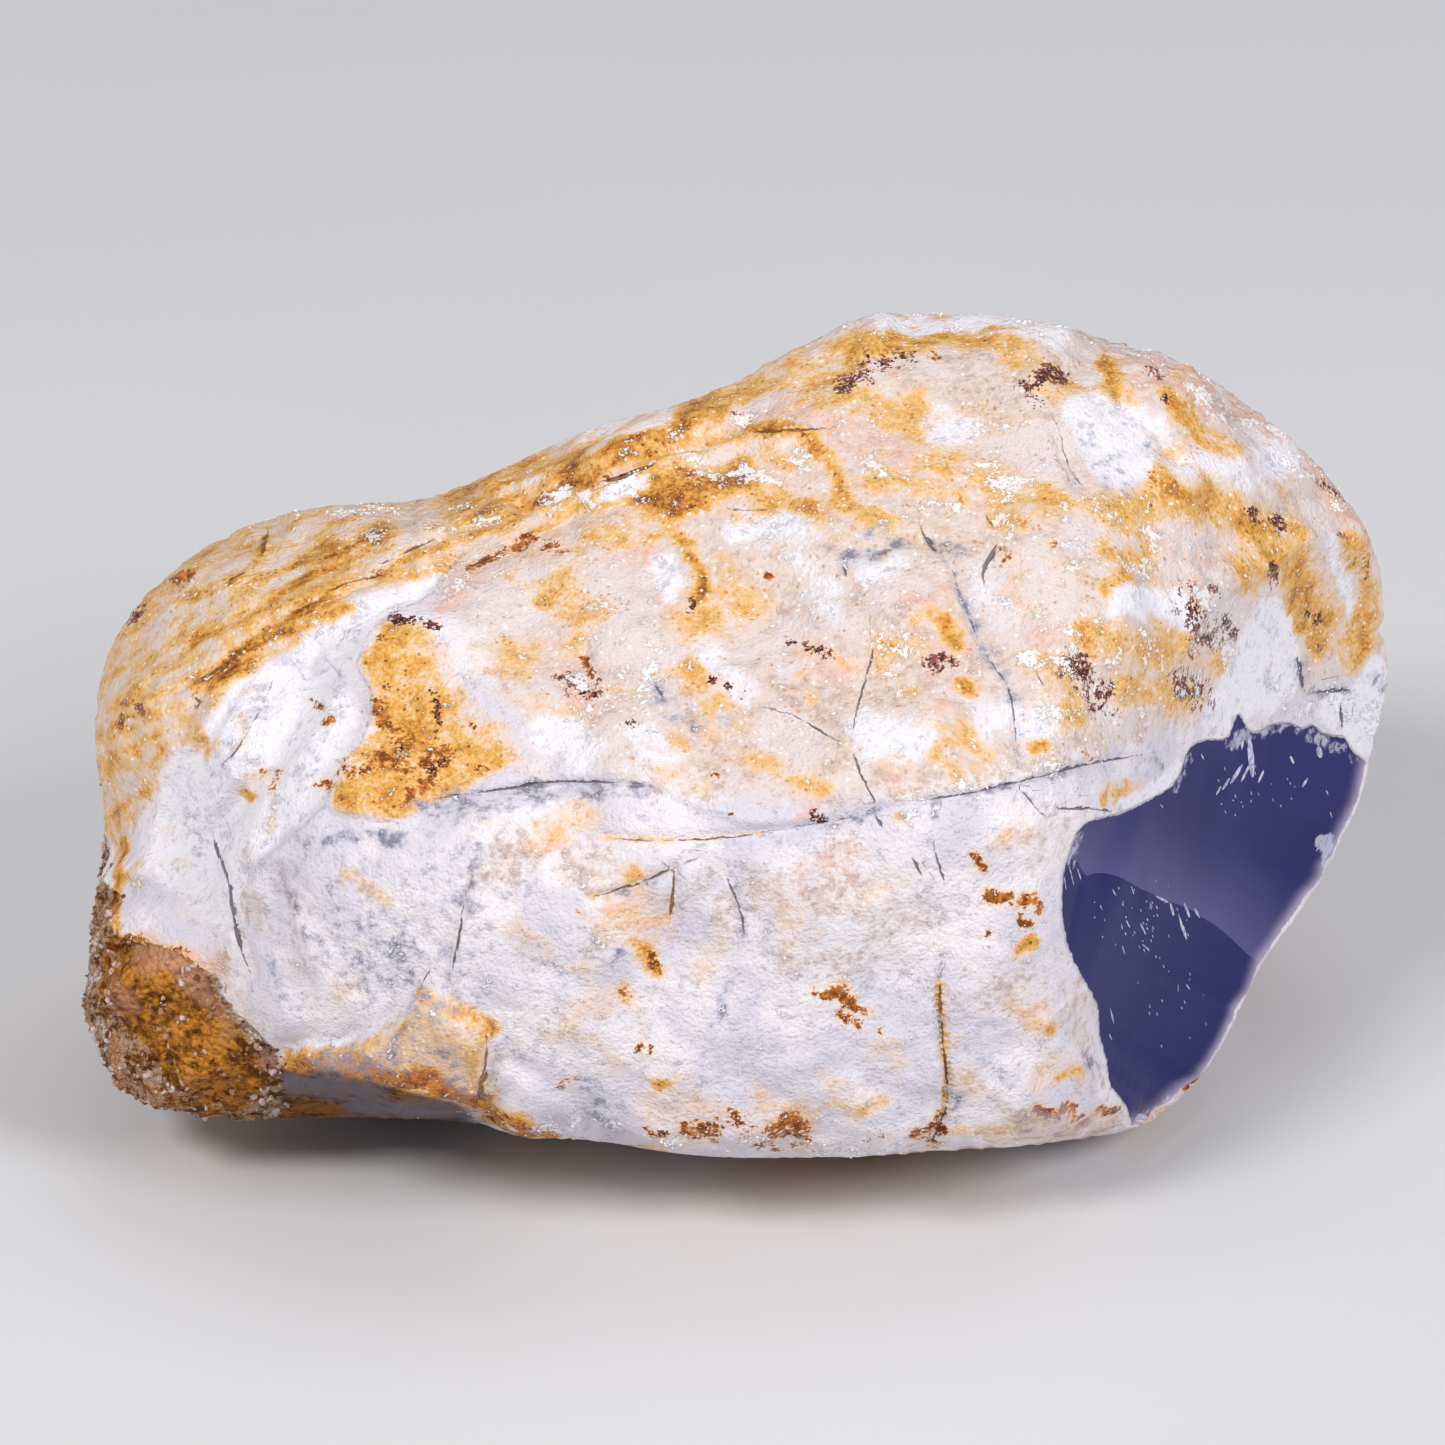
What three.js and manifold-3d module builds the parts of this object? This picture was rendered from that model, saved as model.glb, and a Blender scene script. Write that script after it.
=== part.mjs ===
// Rough chalcedony: one natural nodule with a pale rind, a knobbly crust at one end and two
// shell-shaped breaks at the other. Millimetres, +Z up, the stone rests on Z = 0.
import * as THREE from 'three';
import { mergeVertices } from 'three/addons/utils/BufferGeometryUtils.js';
import Module from 'manifold-3d';

const wasm = await Module();
wasm.setup();

// ---- driving dimensions
const middle = [0, -2, 20];            // the point the surface is measured out from
const reach = [40, 28, 24];            // rough half size, spreads the triangles evenly
const splits = 18;                     // cuts along each edge of the starting icosahedron
const blend = 1.8;                     // how softly the lumps run into each other
const heelBlend = 3;                   // how softly the heel runs into the rest
const restHeight = 0.8;                // the flat spot is cut this far up the form
const unevenness = 0.35;               // height of the slow swells all over the surface

// each lump: middle, half sizes, squareness in plan and in profile, turn and dip in degrees
const lumps = {
  dome: { at: [14.6, 2.2, 25.2], half: [28.0, 20.5, 22.6], plan: 2.6, profile: 2.2, turn: 46, dip: 11 },
  rightFoot: { at: [17.6, -3, 15.0], half: [17.6, 20, 14.6], plan: 2.3, profile: 2.2, turn: 0, dip: 0 },
  belly: { at: [-3, -8.5, 20.2], half: [28, 21.5, 19.4], plan: 3, profile: 3, turn: 0, dip: -6 },
  leftLobe: { at: [-23.1, 1, 19.9], half: [15.8, 18, 15.3], plan: 2.4, profile: 2.1, turn: 0, dip: 0 },
  nearRidge: { at: [-3, -4, 29.0], half: [20, 9, 10.6], plan: 2, profile: 2, turn: 0, dip: -20 },
  farRidge: { at: [-4, 13, 26.2], half: [20, 9.0, 11.3], plan: 2, profile: 2, turn: 0, dip: -24 },
};
const heel = { at: [-30.9, -12, 12.0], half: [7.4, 9.5, 9.2], plan: 2.2, profile: 2.2, turn: 0, dip: 0 };

// each worn face: a point on it, its outward direction, how softly it runs into the rest
const faces = {
  front: { at: [0, -29.5, 18], out: [0, -1, 0.02], soft: 4 },
  frontLeft: { at: [-20, -27.8, 18], out: [-0.42, -0.9, 0.12], soft: 3 },
  frontRight: { at: [20, -28.7, 24], out: [0.22, -0.95, -0.2], soft: 3 },
  brow: { at: [0, -27.5, 30.5], out: [-0.12, -0.45, 0.9], soft: 4 },
  domeSide: { at: [34.0, -6.3, 28], out: [0.80, -0.52, 0.30], soft: 5 },
  underFront: { at: [0, -28, 7.6], out: [0, -0.42, -1], soft: 3 },
  underLeft: { at: [-23, -27, 13.0], out: [-0.28, -0.60, -0.75], soft: 3 },
};

// the slow swells: share of the unevenness, then two waves that are multiplied, each as
// turns per millimetre along X, Y and Z (in radians) and where it starts
const swells = [
  { share: 1.0, first: [0.33, 0.21, 0, 1.0], second: [-0.17, 0, 0.29, 0.5] },
  { share: 0.8, first: [0, 0.52, 0.37, 2.0], second: [0.47, 0, -0.2, 1.3] },
  { share: 0.5, first: [0.83, 0, 0.3, 0], second: [0, -0.45, 0.71, 0.7] },
];

// the two shell-shaped breaks, each a shallow scoop out of the lower right corner
const breaks = [
  { at: [106.6, -53.1, 25.7], radius: 90 },
  { at: [102.7, -60.8, 12.6], radius: 90 },
];
const breakSides = 144;

// patches where a thin skin has flaked off, and one ledge that stands proud. Corners are
// measured along X and up a view of the front that is tilted down by drawingTilt.
const drawingTilt = 25;
const blockStart = 14;
const blockLength = 50;
const skinOff = {
  step: 0.7,
  corners: [[-15.5, 31.5], [-22.3, 28.0], [-25.7, 25.0], [-28.2, 24.3], [-30.3, 20.2], [-34.5, 18.0],
    [-36.5, 12.6], [-32.9, 9.4], [-30.0, 7.4], [-24, 16.0], [-21.4, 24.8], [-18, 27.4]],
};
const secondOff = {
  step: 1.4,
  corners: [[-25.7, 24.6], [-27.2, 21.8], [-29.0, 18.9], [-31.0, 16.6], [-33.0, 11.5], [-30.2, 8.2],
    [-26.5, 12.0], [-24.2, 18.0]],
};
const ledgeOn = {
  step: 1.1,
  corners: [[-26.6, 1.5], [-22.9, 2.5], [-20.1, 3.4], [-18.4, 4.0], [-17.9, 6.2], [-15.5, 5.1],
    [-12.9, 3.6], [-13.4, 1.6], [-14.1, -1.6], [-20, -2.5], [-25.5, -0.4]],
};

// round hollows: a point on the surface, its outward direction, the ball's radius and its bite
const hollows = [
  { at: [22.6, -5.9, 43.5], out: [0.2, -0.4, 0.9], radius: 7, depth: 0.9 },
  { at: [-34.6, -20.6, 11.4], out: [-0.5, -0.85, 0], radius: 1.7, depth: 1.3 },
  { at: [-32.8, 1.1, 32.5], out: [-0.6, 0, 0.8], radius: 1.2, depth: 0.7 },
  { at: [-12.0, -6.7, 38.2], out: [-0.2, -0.3, 0.94], radius: 1.1, depth: 0.6 },
  { at: [-8.1, -16.8, 34.8], out: [-0.1, -0.44, 0.89], radius: 1.5, depth: 0.6 },
];
const hollowSides = 20;

// knobs of the crust: degrees round and degrees up as seen from the heel's middle, radius,
// and how far each stands out of the surface
const heelKnobs = [
  [182, 40, 2.6, 0.8], [195, 15, 3.2, 0.9], [172, 8, 2.8, 0.8], [212, 34, 2.4, 0.7], [218, 4, 3.0, 1.0],
  [200, -18, 3.2, 1.0], [236, -16, 2.8, 0.9], [178, -24, 2.8, 0.8], [240, 16, 2.6, 0.7], [214, -42, 3.0, 0.9],
  [258, -2, 2.2, 0.6], [252, -38, 2.6, 0.8], [160, 26, 2.4, 0.6], [150, -6, 2.6, 0.6], [232, 44, 2.0, 0.5],
];
const sideKnobs = [
  { at: [40.0, 4.6, 24.0], radius: 2.0 },
  { at: [38.6, 0.6, 27.4], radius: 1.8 },
];
const knobSides = 16;

// the open crack that notches the lower front edge
const crack = { at: [12.7, -27.0, 12.8], size: [0.7, 2.2, 15], turn: [8, 3, 0] };

const vector = (numbers) => new THREE.Vector3(...numbers);
const radians = THREE.MathUtils.degToRad;
const xAxis = vector([1, 0, 0]);
const yAxis = vector([0, 1, 0]);
const zAxis = vector([0, 0, 1]);

// ---- the form as one distance-like function, below zero inside the stone
function lumpDistance(place, lump) {
  const q = place.clone().sub(vector(lump.at));
  q.applyAxisAngle(zAxis, -radians(lump.turn)).applyAxisAngle(yAxis, -radians(lump.dip));
  const plan = Math.abs(q.dot(xAxis) / lump.half[0]) ** lump.plan
    + Math.abs(q.dot(yAxis) / lump.half[1]) ** lump.plan;
  const profile = Math.abs(q.dot(zAxis) / lump.half[2]) ** lump.profile;
  const level = (plan ** (lump.profile / lump.plan) + profile) ** (1 / lump.profile);
  return q.length() * (1 - 1 / Math.max(level, 1e-4));
}

function softMax(a, b, softness) {
  const overlap = Math.max(softness - Math.abs(a - b), 0) / softness;
  return Math.max(a, b) + overlap ** 2 * softness / 4;
}

function swell({ x, y, z }) {
  const wave = ([kx, ky, kz, start]) => Math.sin(kx * x + ky * y + kz * z + start);
  return unevenness * swells.reduce((sum, s) => sum + s.share * wave(s.first) * wave(s.second), 0);
}

function formDistance(place) {
  let closeness = 0;
  for (const lump of Object.values(lumps)) {
    closeness += Math.exp(-lumpDistance(place, lump) / blend);
  }
  let distance = -blend * Math.log(closeness);
  for (const face of Object.values(faces)) {
    const height = place.clone().sub(vector(face.at)).dot(vector(face.out).normalize());
    distance = softMax(distance, height, face.soft);
  }
  return swell(place) - softMax(-distance, -lumpDistance(place, heel), heelBlend);
}

function surfaceReach(direction, from) {
  const start = vector(from);
  let near = 0;
  let far = 70;
  while (far - near > 1e-6) {
    const half = (near + far) / 2;
    if (formDistance(start.clone().addScaledVector(direction, half)) < 0) {
      near = half;
    } else {
      far = half;
    }
  }
  return near;
}

// ---- the nodule as a closed mesh, pulled in or let out by an even skin
function ballOfDirections() {
  const ball = new THREE.IcosahedronGeometry(1, splits);
  ball.deleteAttribute('normal');
  ball.deleteAttribute('uv');
  const merged = mergeVertices(ball, 1e-5);
  merged.scale(...reach);
  return merged;
}

const ball = ballOfDirections();
const directions = Array.from({ length: ball.getAttribute('position').count },
  (_, i) => new THREE.Vector3().fromBufferAttribute(ball.getAttribute('position'), i).normalize());
const reaches = directions.map((direction) => surfaceReach(direction, middle));

function nodule(skin) {
  const corners = directions.flatMap((direction, i) => vector(middle)
    .addScaledVector(direction, reaches[i] + skin).toArray());
  return new wasm.Manifold(new wasm.Mesh({
    numProp: 3,
    vertProperties: new Float32Array(corners),
    triVerts: new Uint32Array(ball.index.array),
  }));
}

// a straight-sided block that reaches into the front of the stone, drawn on the tilted view
function frontBlock(corners) {
  return wasm.Manifold.extrude(new wasm.CrossSection([corners], 'NonZero'), blockLength)
    .translate([0, 0, blockStart]).rotate([90 - drawingTilt, 0, 0]);
}

function knob(round, up, radius, proud) {
  const way = vector([1, 0, 0]).applyAxisAngle(yAxis, -radians(up)).applyAxisAngle(zAxis, radians(round));
  const centre = vector(heel.at).addScaledVector(way, surfaceReach(way, heel.at) + proud - radius);
  return wasm.Manifold.sphere(radius, knobSides).rotate([round, up, 0]).translate(centre.toArray());
}

let stone = nodule(0);
for (const patch of [skinOff, secondOff]) {
  stone = stone.subtract(frontBlock(patch.corners).subtract(nodule(-patch.step)));
}
stone = stone.add(frontBlock(ledgeOn.corners).intersect(nodule(ledgeOn.step)));
for (const numbers of heelKnobs) {
  stone = stone.add(knob(...numbers));
}
for (const { at, radius } of sideKnobs) {
  stone = stone.add(wasm.Manifold.sphere(radius, knobSides).translate(at));
}
for (const { at, radius } of breaks) {
  stone = stone.subtract(wasm.Manifold.sphere(radius, breakSides).translate(at));
}
for (const { at, out, radius, depth } of hollows) {
  const centre = vector(at).addScaledVector(vector(out).normalize(), radius - depth);
  stone = stone.subtract(wasm.Manifold.sphere(radius, hollowSides).translate(centre.toArray()));
}
stone = stone.subtract(wasm.Manifold.cube(crack.size, true).rotate(crack.turn).translate(crack.at));
stone = stone.trimByPlane([0, 0, 1], restHeight);

// crumbs cut loose are dropped, then the middle of the footprint goes on the origin
stone = stone.decompose().reduce((a, b) => (a.volume() > b.volume() ? a : b));
const { min, max } = stone.boundingBox();
stone = stone.translate([-(min[0] + max[0]) / 2, -(min[1] + max[1]) / 2, -restHeight]);

// ---- the scene graph
function meshOf(solid, name, material) {
  const { vertProperties, triVerts } = solid.getMesh();
  const geometry = new THREE.BufferGeometry();
  geometry.setAttribute('position', new THREE.BufferAttribute(vertProperties, 3));
  geometry.setIndex(new THREE.BufferAttribute(triVerts, 1));
  geometry.computeVertexNormals();
  const mesh = new THREE.Mesh(geometry, material);
  mesh.name = name;
  return mesh;
}

const rind = new THREE.MeshStandardMaterial({ color: 0xded6cf, roughness: 0.6, metalness: 0 });
const part = new THREE.Group();
part.add(meshOf(stone, 'chalcedony_nodule', rind));
export default part;
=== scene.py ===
import itertools
import math

import bpy
import numpy as np
from mathutils import Matrix, Vector


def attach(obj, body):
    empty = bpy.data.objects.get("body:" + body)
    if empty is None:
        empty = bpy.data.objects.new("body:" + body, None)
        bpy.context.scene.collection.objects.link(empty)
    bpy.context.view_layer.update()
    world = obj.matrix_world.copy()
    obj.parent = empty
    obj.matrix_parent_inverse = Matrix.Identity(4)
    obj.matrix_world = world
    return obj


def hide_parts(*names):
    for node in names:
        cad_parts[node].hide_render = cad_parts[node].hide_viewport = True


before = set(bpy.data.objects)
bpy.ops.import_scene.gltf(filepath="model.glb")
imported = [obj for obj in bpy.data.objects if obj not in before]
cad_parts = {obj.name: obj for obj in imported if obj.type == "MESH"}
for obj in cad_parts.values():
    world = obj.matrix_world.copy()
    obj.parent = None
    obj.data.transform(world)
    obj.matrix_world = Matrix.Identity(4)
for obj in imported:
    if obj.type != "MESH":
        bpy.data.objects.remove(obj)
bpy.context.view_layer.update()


# ---------------------------------------------------------------- the grown form of the nodule
# One natural lump of chalcedony, worn smooth: a dome, a left lobe and two ridges with a saddle between
# them, flat at the front. Its skin is measured out from the middle along an even ball of directions.

# all of this is in millimetres; onto_origin moves it to where the frame has it
middle = np.array([0, -2, 20])
onto_origin = np.array([-0.998, 0.213, -0.8])
rest_height = 0.8
lump_blend = 1.8
heel_blend = 3.0
unevenness = 0.35

# middle, half sizes, squareness in plan and in profile, turn and dip in degrees
lumps = {
    "dome": ((14.6, 2.2, 25.2), (28.0, 20.5, 22.6), 2.6, 2.2, 46, 11),
    "right foot": ((17.6, -3, 15.0), (17.6, 20, 14.6), 2.3, 2.2, 0, 0),
    "belly": ((-3, -8.5, 20.2), (28, 21.5, 19.4), 3, 3, 0, -6),
    "left lobe": ((-23.1, 1, 19.9), (15.8, 18, 15.3), 2.4, 2.1, 0, 0),
    "near ridge": ((-3, -4, 29.0), (20, 9, 10.6), 2, 2, 0, -20),
    "far ridge": ((-4, 13, 26.2), (20, 9.0, 11.3), 2, 2, 0, -24),
}
heel = ((-30.9, -12, 12.0), (7.4, 9.5, 9.2), 2.2, 2.2, 0, 0)

# a point on each worn face, the way it faces, and how softly it runs into the rest
faces = {
    "front": ((0, -29.5, 18), (0, -1, 0.02), 4),
    "front left": ((-20, -27.8, 18), (-0.42, -0.9, 0.12), 3),
    "front right": ((20, -28.7, 24), (0.22, -0.95, -0.2), 3),
    "brow": ((0, -27.5, 30.5), (-0.12, -0.45, 0.9), 4),
    "dome side": ((34.0, -6.3, 28), (0.80, -0.52, 0.30), 5),
    "under front": ((0, -28, 7.6), (0, -0.42, -1), 3),
    "under left": ((-23, -27, 13.0), (-0.28, -0.60, -0.75), 3),
}

# slow swells: share, then two waves that are multiplied, each along X, Y and Z with its start
swells = [
    (1.0, (0.33, 0.21, 0, 1.0), (-0.17, 0, 0.29, 0.5)),
    (0.8, (0, 0.52, 0.37, 2.0), (0.47, 0, -0.2, 1.3)),
    (0.5, (0.83, 0, 0.3, 0), (0, -0.45, 0.71, 0.7)),
]


def lump_distance(points, lump):
    at, half, plan, profile, turn, dip = lump
    q = points - np.array(at)
    turn = math.radians(turn)
    dip = math.radians(dip)
    x = q[:, 0] * math.cos(turn) + q[:, 1] * math.sin(turn)
    y = q[:, 1] * math.cos(turn) - q[:, 0] * math.sin(turn)
    z = q[:, 2]
    along = x * math.cos(dip) - z * math.sin(dip)
    z = z * math.cos(dip) + x * math.sin(dip)
    level = np.abs(along / half[0]) ** plan + np.abs(y / half[1]) ** plan
    level = level ** (profile / plan) + np.abs(z / half[2]) ** profile
    level = np.maximum(level ** (1 / profile), 1e-4)
    return np.linalg.norm(q, axis=1) * (1 - 1 / level)


def soft_max(a, b, softness):
    overlap = np.maximum(softness - np.abs(a - b), 0) / softness
    return np.maximum(a, b) + overlap**2 * softness / 4


def swell(points):
    total = 0
    for share, first, second in swells:
        waves = [np.sin(points @ np.array(wave[:3]) + wave[3]) for wave in (first, second)]
        total = total + share * waves[0] * waves[1]
    return unevenness * total


def form_distance(points):
    closeness = sum(np.exp(-lump_distance(points, lump) / lump_blend) for lump in lumps.values())
    distance = -lump_blend * np.log(closeness)
    for at, out, softness in faces.values():
        out = np.array(out) / np.linalg.norm(out)
        distance = soft_max(distance, (points - np.array(at)) @ out, softness)
    return swell(points) - soft_max(-distance, -lump_distance(points, heel), heel_blend)


least_reach = 5.0
greatest_reach = 62.0
halvings = 18


def form_reach(ways):
    near = np.full(len(ways), least_reach)
    far = np.full(len(ways), greatest_reach)
    for _ in range(halvings):
        half = (near + far) / 2
        inside = form_distance(middle + ways * half[:, None]) < 0
        near = np.where(inside, half, near)
        far = np.where(inside, far, half)
    return (near + far) / 2


# an even ball of directions from an icosahedron whose faces are cut into small triangles. The ball
# is stretched to the stone's proportions and pushed forward, so that the front has the finest mesh.
splits = 97
longest_side = 1.1
ball_stretch = np.array([40, 28, 24])
ball_push = np.array([0, -0.27, 0.13])


def even_ball():
    golden = (1 + math.sqrt(5)) / 2
    corners = []
    for a in (-1, 1):
        for b in (-golden, golden):
            corners += [(0, a, b), (a, b, 0), (b, 0, a)]
    corners = np.array(corners) / math.sqrt(1 + golden**2)
    steps = [(i, j) for i in range(splits + 1) for j in range(splits + 1 - i)]
    place = {step: number for number, step in enumerate(steps)}
    weights = np.array([(i, j, splits - i - j) for i, j in steps]) / splits
    small = []
    for i, j in steps:
        if i + j < splits:
            small.append((place[i, j], place[i + 1, j], place[i, j + 1]))
        if i + j < splits - 1:
            small.append((place[i + 1, j], place[i + 1, j + 1], place[i, j + 1]))
    small = np.array(small)
    points = []
    triangles = []
    for trio in itertools.combinations(range(len(corners)), 3):
        trio = corners[list(trio)]
        if max(np.linalg.norm(trio[k] - trio[k - 1]) for k in range(3)) > longest_side:
            continue
        if np.linalg.det(trio) < 0:
            trio = trio[::-1]
        triangles.append(small + len(points) * len(weights))
        points.append(weights @ trio)
    points = np.concatenate(points)
    points = points / np.linalg.norm(points, axis=1)[:, None]
    _, first, merged = np.unique(points.round(6), axis=0, return_index=True, return_inverse=True)
    return points[first], merged.reshape(-1)[np.concatenate(triangles)]


ball, triangles = even_ball()
ways = (ball + ball_push) * ball_stretch
ways = ways / np.linalg.norm(ways, axis=1)[:, None]
grown = form_reach(ways)
corners_here = np.bincount(triangles.ravel(), minlength=len(ways))


def evened(values, share, rounds):
    """The values drawn towards those of their neighbours, as much as the share says."""
    for _ in range(rounds):
        beside = values[triangles].sum(axis=1)
        total = 0
        for corner in triangles.T:
            total = total + np.bincount(corner, beside - values[corner], len(values))
        values = values + share * (total / (2 * corners_here) - values)
    return values


# the crease between the heel and the stone's underside is filled
heel_crease = np.array([-26.5, -15.5, 5.5])
crease_core = 4
crease_fade = 5
crease_fill = 0.9
crease_rounds = 90
crease_away = np.linalg.norm(middle + ways * grown[:, None] - heel_crease, axis=1)
crease_share = crease_fill * (1 - np.clip((crease_away - crease_core) / crease_fade, 0, 1))
grown = evened(grown, crease_share, crease_rounds)

# the flat spot that the stone lies on
down = np.minimum(ways[:, 2], -1e-6)
floor_reach = np.where(ways[:, 2] < 0, (rest_height - middle[2]) / down, np.inf)


# ---------------------------------------------------------------- the break
# Two shallow shell-shaped scoops have been struck out of the lower right corner and show the blue-violet
# chalcedony inside. They meet in a sharp arris, and each is part of a large ball.

scoops = [((106.6, -53.1, 25.7), 90.0), ((102.7, -60.8, 12.6), 90.0)]
no_scoop = 1e3


def scoop_reach(ways, at, radius):
    arm = np.array(at) - middle
    along = ways @ arm
    beside = radius**2 - (arm @ arm - along**2)
    meets = (along > 0) & (beside > 0)
    return np.where(meets, along - np.sqrt(np.maximum(beside, 0)), no_scoop)


break_reach = np.minimum(*[scoop_reach(ways, at, radius) for at, radius in scoops])
break_depth = grown - break_reach


# ---------------------------------------------------------------- the drawing of the marks
# Where each mark lies was drawn on a sheet of 1445 by 1445 squares that stands square to the viewer's line
# of sight.

squares = 1445
sheet_reach = 6400
view_tilt = math.radians(25)
view_distance = 391.0
view_centre = np.array([0, 0, 23.3])
square = view_distance / sheet_reach
back = np.array([0, -math.cos(view_tilt), math.sin(view_tilt)])
upward = np.array([0, math.sin(view_tilt), math.cos(view_tilt)])
eye = view_centre + view_distance * back


def on_sheet(points):
    arm = points - eye
    depth = -(arm @ back)
    across = squares / 2 + sheet_reach * arm[:, 0] / depth
    downward = squares / 2 - sheet_reach * (arm @ upward) / depth
    return np.stack([across, downward], axis=1)


def ramp(values, low, high):
    t = np.clip((values - low) / (high - low), 0, 1)
    return t * t * (3 - 2 * t)


def rounded(corners, closed=True):
    """Cut each corner of an outline or a course twice, so that it runs in curves."""
    corners = np.array(corners, float)
    for _ in range(2):
        after = np.roll(corners, -1, axis=0)
        cut = np.stack([0.75 * corners + 0.25 * after, 0.25 * corners + 0.75 * after], axis=1).reshape(-1, 2)
        corners = cut if closed else np.concatenate([corners[:1], cut[:-2], corners[-1:]])
    return corners


def line_distance(marks, corners):
    nearest = np.full(len(marks), np.inf)
    for start, end in zip(np.array(corners[:-1], float), np.array(corners[1:], float)):
        side = end - start
        share = np.clip((marks - start) @ side / (side @ side), 0, 1)
        away = marks - start - share[:, None] * side
        nearest = np.minimum(nearest, np.hypot(away[:, 0], away[:, 1]))
    return nearest


def inside_distance(marks, corners):
    corners = rounded(corners)
    closed = np.concatenate([corners, corners[:1]])
    inside = np.zeros(len(marks), bool)
    for (ax, ay), (bx, by) in zip(closed[:-1], closed[1:]):
        crosses = (ay > marks[:, 1]) != (by > marks[:, 1])
        if ay != by:
            inside ^= crosses & (marks[:, 0] < (bx - ax) * (marks[:, 1] - ay) / (by - ay) + ax)
    return np.where(inside, 1, -1) * line_distance(marks, closed)


# smooth noise on a lattice, for uneven edges and for the relief of the rind
lattice = 256
noise_height = 1.6
octave_fall = 1.8
octave_shift = 3.1
dice = np.random.default_rng(7)
shuffled = dice.permutation(lattice)
slopes = dice.normal(size=(lattice, 3))
slopes = slopes / np.linalg.norm(slopes, axis=1)[:, None]


def noise(points, size, start=0.0):
    p = points / size + start
    cell = np.floor(p).astype(int)
    inner = p - cell
    fade = inner**3 * (inner * (inner * 6 - 15) + 10)
    total = 0
    for side in np.ndindex(2, 2, 2):
        number = 0
        for k in (2, 1, 0):
            number = shuffled[(cell[:, k] + side[k] + number) % lattice]
        share = 1
        for k in range(3):
            share = share * (fade[:, k] if side[k] else 1 - fade[:, k])
        total = total + share * np.sum(slopes[number] * (inner - side), axis=1)
    return total * noise_height


def rough_noise(points, size, octaves, start=0.0):
    layers = [noise(points, size / 2**k, start + octave_shift * k) / octave_fall**k for k in range(octaves)]
    return sum(layers)


reaches = np.minimum(np.minimum(grown, break_reach), floor_reach)
spots = middle + ways * reaches[:, None]
marks = on_sheet(spots)


def point_normals(points):
    a, b, c = (points[triangles[:, k]] for k in range(3))
    across = np.cross(b - a, c - a)
    normals = np.zeros_like(points)
    for corner in triangles.T:
        for axis in range(3):
            normals[:, axis] += np.bincount(corner, across[:, axis], len(points))
    return normals / np.linalg.norm(normals, axis=1)[:, None]


# 1 where the stone faces the viewer and 0 on the side behind, with a soft border at the outline
to_eye = (eye - spots) / np.linalg.norm(eye - spots, axis=1)[:, None]
facing = ramp(np.sum(point_normals(spots) * to_eye, axis=1), -0.06, 0.10)

# how far the drawn edges stray from their lines, in squares
stray = 7
wobble = np.stack([rough_noise(spots, 2.2, 3), rough_noise(spots, 2.2, 3, 40)], axis=1) * stray


# ---------------------------------------------------------------- relief of the rind
# The rind is chalky, weathered stone. Thin skins have flaked off the left lobe in two steps, a waxy
# sheet lies over the brow and ends in a ragged seam, and a ledge stands proud along the lower front.

flaked = [
    (469, 545), (442, 569), (400, 584), (345, 605), (310, 622), (300, 636), (290, 655), (284, 660),
    (243, 667), (228, 690), (215, 715), (200, 740), (180, 746), (160, 765), (125, 854), (184, 906),
    (231, 939), (238, 880), (300, 820), (330, 803), (340, 775), (362, 745), (375, 712), (368, 680),
    (357, 665), (380, 620), (428, 600),
]
lip_edge = [
    (290, 650), (277, 666), (271, 686), (262, 705), (253, 723), (240, 745), (230, 758), (218, 767),
    (211, 776), (202, 791), (189, 804), (178, 815), (162, 850),
]
beyond_lip = [*lip_edge, (182, 872), (228, 926), (289, 864), (345, 765), (340, 700), (315, 655)]
brow_sheet = [
    (400, 822), (440, 798), (490, 790), (545, 782), (600, 781), (655, 785), (700, 812), (760, 826),
    (850, 818), (880, 806), (935, 799), (1000, 787), (1060, 773), (1100, 762), (1180, 754), (1240, 700),
    (1420, 640), (1420, 240), (380, 240), (428, 600), (381, 619), (354, 659), (373, 710), (361, 745),
    (315, 790), (333, 812),
]
ledge = [
    (285, 1054), (328, 1049), (355, 1048), (374, 1034), (414, 1026), (413, 995), (430, 990), (452, 1000),
    (492, 1029), (490, 1050), (482, 1090), (476, 1107), (400, 1086), (330, 1074), (288, 1070),
]
toe = [(484, 1060), (520, 1085), (560, 1110), (580, 1135), (560, 1150), (476, 1125), (478, 1100)]
window_drawn = [
    (1081, 822), (1070, 848), (1063, 870), (1061, 905), (1063, 930), (1070, 955), (1080, 975), (1094, 998),
    (1098, 1010), (1099, 1040), (1107, 1060), (1108, 1085), (1122, 1100), (1130, 1116), (1140, 1200),
    (1500, 1200), (1500, 790), (1372, 764), (1360, 758), (1350, 748), (1345, 735), (1325, 736), (1310, 722),
    (1303, 730), (1290, 722), (1270, 724), (1258, 733), (1247, 730), (1241, 714), (1236, 714), (1232, 726),
    (1228, 740), (1200, 739), (1185, 752), (1181, 772), (1170, 788), (1150, 799), (1120, 814),
]

slight_wobble = marks + wobble * 0.4
relief = 0.30 * rough_noise(spots, 6.0, 3) + 0.13 * rough_noise(spots, 1.4, 2, 20)

# the outline of each skin, how proud it stands in millimetres, and how soft its edge is in squares
skins = [(flaked, -0.8, 6), (brow_sheet, 0.45, 7), (ledge, 1.4, 9), (toe, 0.6, 10)]
for outline, height, softness in skins:
    over = ramp(inside_distance(slight_wobble, outline), -softness / 2, softness / 2)
    relief = relief + facing * height * over

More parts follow.
